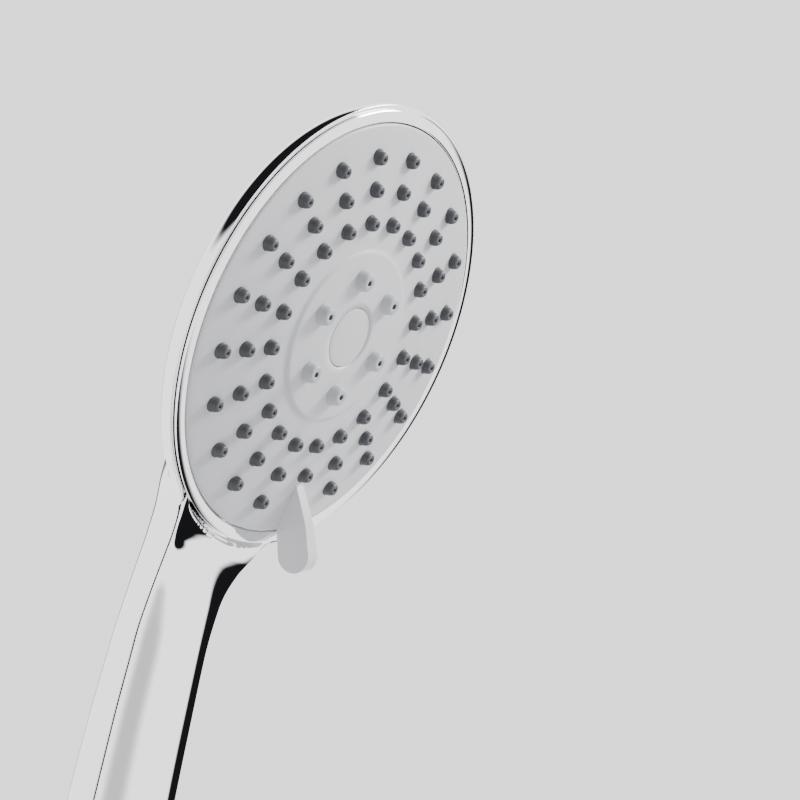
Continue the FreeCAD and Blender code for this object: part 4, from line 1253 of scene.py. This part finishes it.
# ---------------------------------------------------------------------------------------
# Studio
# ---------------------------------------------------------------------------------------
@dataclass(frozen=True)
class Studio:
    """Floor, lights, surroundings and camera."""

    lens: float = 315.0
    sensor: float = 36.0
    floor_z: float = -0.30
    floor_half: float = 6.0
    far_clip: float = 50.0
    key_offset: tuple[float, float, float] = (0.61, -0.63, 0.81)
    key_size: Point = (0.4, 0.4)
    key_watts: float = 22.0
    room_white: tuple[float, float, float] = (2.3, 2.3, 2.35)
    card_black: tuple[float, float, float] = (0.012, 0.012, 0.014)
    soft_white: tuple[float, float, float] = (0.98, 0.98, 1.0)
    seen_white: tuple[float, float, float] = (1.75, 1.75, 1.81)
    dim_side: tuple[float, float, float] = (-0.75, 0.05, -0.65)
    dim_most: float = 0.95
    dim_from: float = -0.25
    dim_to: float = 0.4
    # cards in the room: direction, degrees from it that are fully and just covered, darkness
    cards: tuple[tuple[tuple[float, float, float], float, float, float], ...] = (
        ((-0.10, 0.45, 0.88), 36.0, 46.0, 1.0),
        ((0.45, -0.52, -0.72), 27.0, 33.0, 1.0),
        ((0.975, -0.085, 0.208), 19.0, 25.0, 1.0),
        ((0.70, 0.70, 0.14), 3.0, 8.0, 0.9),
        ((-0.93, -0.33, 0.14), 8.0, 42.0, 0.6),
    )
    # the camera's sight line and upright in the head's frame, and how far it stands off
    sight: tuple[float, float, float] = (0.85428, 0.00665, -0.51976)
    upright: tuple[float, float, float] = (-0.22920, 0.90228, -0.36518)
    distance: float = 1.65505
    head_right: float = -0.01489
    head_down: float = -0.01603

    def camera(self, head: HeadFrame) -> None:
        """A long-lens camera that looks at the spray face from one side and slightly below.

        Args:
            head: the head's frame.
        """
        data = bpy.data.cameras.new("camera")
        data.lens = self.lens
        data.sensor_width = self.sensor
        data.clip_end = self.far_clip
        camera = bpy.data.objects.new("camera", data)
        to_row = head.matrix().to_3x3() @ Matrix.Scale(1 / MM, 3)
        forward = (to_row @ Vector(self.sight)).normalized()
        right = forward.cross(to_row @ Vector(self.upright)).normalized()
        down = forward.cross(right)
        place = head.origin - right * self.head_right - down * self.head_down - forward * self.distance
        turn = Matrix((right, -down, -forward)).transposed()
        camera.matrix_world = Matrix.Translation(place) @ turn.to_4x4()
        bpy.context.scene.collection.objects.link(camera)
        bpy.context.scene.camera = camera

    def area(self, name: str, place: Vector, target: Vector, size: Point, power: float) -> None:
        """A soft light that the camera doesn't see.

        Args:
            name: the light's name.
            place: where it stands, in metres.
            target: what it faces.
            size: its width and height in metres.
            power: watts.
        """
        data = bpy.data.lights.new(name, "AREA")
        data.shape = "RECTANGLE"
        data.size, data.size_y = size
        data.energy = power
        light = bpy.data.objects.new(name, data)
        light.location = place
        light.rotation_euler = (target - place).to_track_quat("-Z", "Y").to_euler()
        light.visible_camera = False
        bpy.context.scene.collection.objects.link(light)

    def floor(self) -> None:
        """A wide pale floor well below the object."""
        bm = bmesh.new()
        bmesh.ops.create_grid(bm, x_segments=4, y_segments=4, size=self.floor_half)
        mesh = bpy.data.meshes.new("floor")
        bm.to_mesh(mesh)
        bm.free()
        mesh.transform(Matrix.Translation((0, 0, self.floor_z)))
        paint = Finish("floor_paint", (0.78, 0.78, 0.79), (0.75, 0.75, 0.76), 0.6, 0.8, grain_scale=20.0)
        mesh.materials.append(paint.build())
        obj = bpy.data.objects.new("floor", mesh)
        bpy.context.scene.collection.objects.link(obj)
        obj.visible_glossy = False

    @staticmethod
    def towards(tree: bpy.types.NodeTree, direction: Sequence[float]) -> bpy.types.NodeSocket:
        """How nearly a ray points in a direction.

        Args:
            tree: the world's nodes.
            direction: the direction, of any length.

        Returns:
            The socket with the cosine of the angle between them.
        """
        place, dot = tree.nodes.new("ShaderNodeTexCoord"), tree.nodes.new("ShaderNodeVectorMath")
        dot.operation = "DOT_PRODUCT"
        dot.inputs[1].default_value = Vector(direction).normalized()
        tree.links.new(place.outputs["Generated"], dot.inputs[0])
        return dot.outputs["Value"]

    @staticmethod
    def ramp(
        tree: bpy.types.NodeTree, value: bpy.types.NodeSocket, low: float, high: float, most: float,
        smooth: bool = False,
    ) -> bpy.types.NodeSocket:
        """Maps a value from low to high onto 0 to most.

        Args:
            tree: the world's nodes.
            value: the socket with the value.
            low: value that gives 0.
            high: value that gives most.
            most: greatest result.
            smooth: whether the ramp eases in and out.

        Returns:
            The socket with the result.
        """
        node = tree.nodes.new("ShaderNodeMapRange")
        if smooth:
            node.interpolation_type = "SMOOTHSTEP"
        node.inputs["From Min"].default_value = low
        node.inputs["From Max"].default_value = high
        node.inputs["To Max"].default_value = most
        tree.links.new(value, node.inputs["Value"])
        return node.outputs["Result"]

    @staticmethod
    def background(tree: bpy.types.NodeTree, colour: Sequence[float]) -> bpy.types.NodeSocket:
        """A plain background colour.

        Args:
            tree: the world's nodes.
            colour: red, green and blue.

        Returns:
            The socket with the shader.
        """
        node = tree.nodes.new("ShaderNodeBackground")
        node.inputs["Color"].default_value = (*colour, 1.0)
        return node.outputs[0]

    @staticmethod
    def mixed(
        tree: bpy.types.NodeTree, share: bpy.types.NodeSocket, first: bpy.types.NodeSocket,
        second: bpy.types.NodeSocket,
    ) -> bpy.types.NodeSocket:
        """Mixes two shaders.

        Args:
            tree: the world's nodes.
            share: how much of the second there is.
            first: shader at 0.
            second: shader at 1.

        Returns:
            The socket with the mixed shader.
        """
        node = tree.nodes.new("ShaderNodeMixShader")
        for socket, source in zip(node.inputs, (share, first, second)):
            tree.links.new(source, socket)
        return node.outputs[0]

    def card_shade(self, tree: bpy.types.NodeTree) -> bpy.types.NodeSocket:
        """How dark the cards make the room in a ray's direction.

        Args:
            tree: the world's nodes.

        Returns:
            The socket with the darkness, the most of all the cards.
        """
        shade = None
        for direction, inside, outside, darkness in self.cards:
            low, high = (math.cos(math.radians(angle)) for angle in (outside, inside))
            card = self.ramp(tree, self.towards(tree, direction), low, high, darkness, smooth=True)
            if shade is None:
                shade = card
                continue
            most = tree.nodes.new("ShaderNodeMath")
            most.operation = "MAXIMUM"
            tree.links.new(shade, most.inputs[0])
            tree.links.new(card, most.inputs[1])
            shade = most.outputs[0]
        return shade

    def world(self) -> None:
        """Pale plain background; reflections see a white room with dark cards round it."""
        world = bpy.data.worlds.new("studio")
        world.use_nodes = True
        bpy.context.scene.world = world
        tree = world.node_tree
        tree.nodes.clear()
        out, path = tree.nodes.new("ShaderNodeOutputWorld"), tree.nodes.new("ShaderNodeLightPath")
        dark = self.background(tree, self.card_black)
        mirror = self.mixed(tree, self.card_shade(tree), self.background(tree, self.room_white), dark)
        dimmed = self.ramp(tree, self.towards(tree, self.dim_side), self.dim_from, self.dim_to,
                           self.dim_most)
        gentle = self.mixed(tree, dimmed, self.background(tree, self.soft_white), dark)
        plain = self.mixed(tree, path.outputs["Is Glossy Ray"], gentle, mirror)
        seen = self.background(tree, self.seen_white)
        final = self.mixed(tree, path.outputs["Is Camera Ray"], plain, seen)
        tree.links.new(final, out.inputs["Surface"])

    def build(self, head: HeadFrame) -> None:
        """Builds the whole studio.

        Args:
            head: the head's frame.
        """
        self.world()
        self.floor()
        self.camera(head)
        target = head.origin.copy()
        self.area("key", target + Vector(self.key_offset), target, self.key_size, self.key_watts)


def main() -> None:
    """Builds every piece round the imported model."""
    logging.basicConfig(level=logging.INFO, format="%(name)s: %(message)s")
    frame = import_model()
    head = HeadFrame.from_joints(frame["joints"])
    shop = Workshop(head)
    finishes = Finishes.build()
    finishes.dress_nodes(frame)
    CasingCovers().build(shop, finishes)
    BezelRing().build(shop, finishes)
    Inlet().build(shop, finishes)
    SprayFace().build(shop, finishes)
    Lever().build(shop, finishes)
    Studio().build(head)
    bpy.context.view_layer.update()


if __name__ == "__main__":
    main()
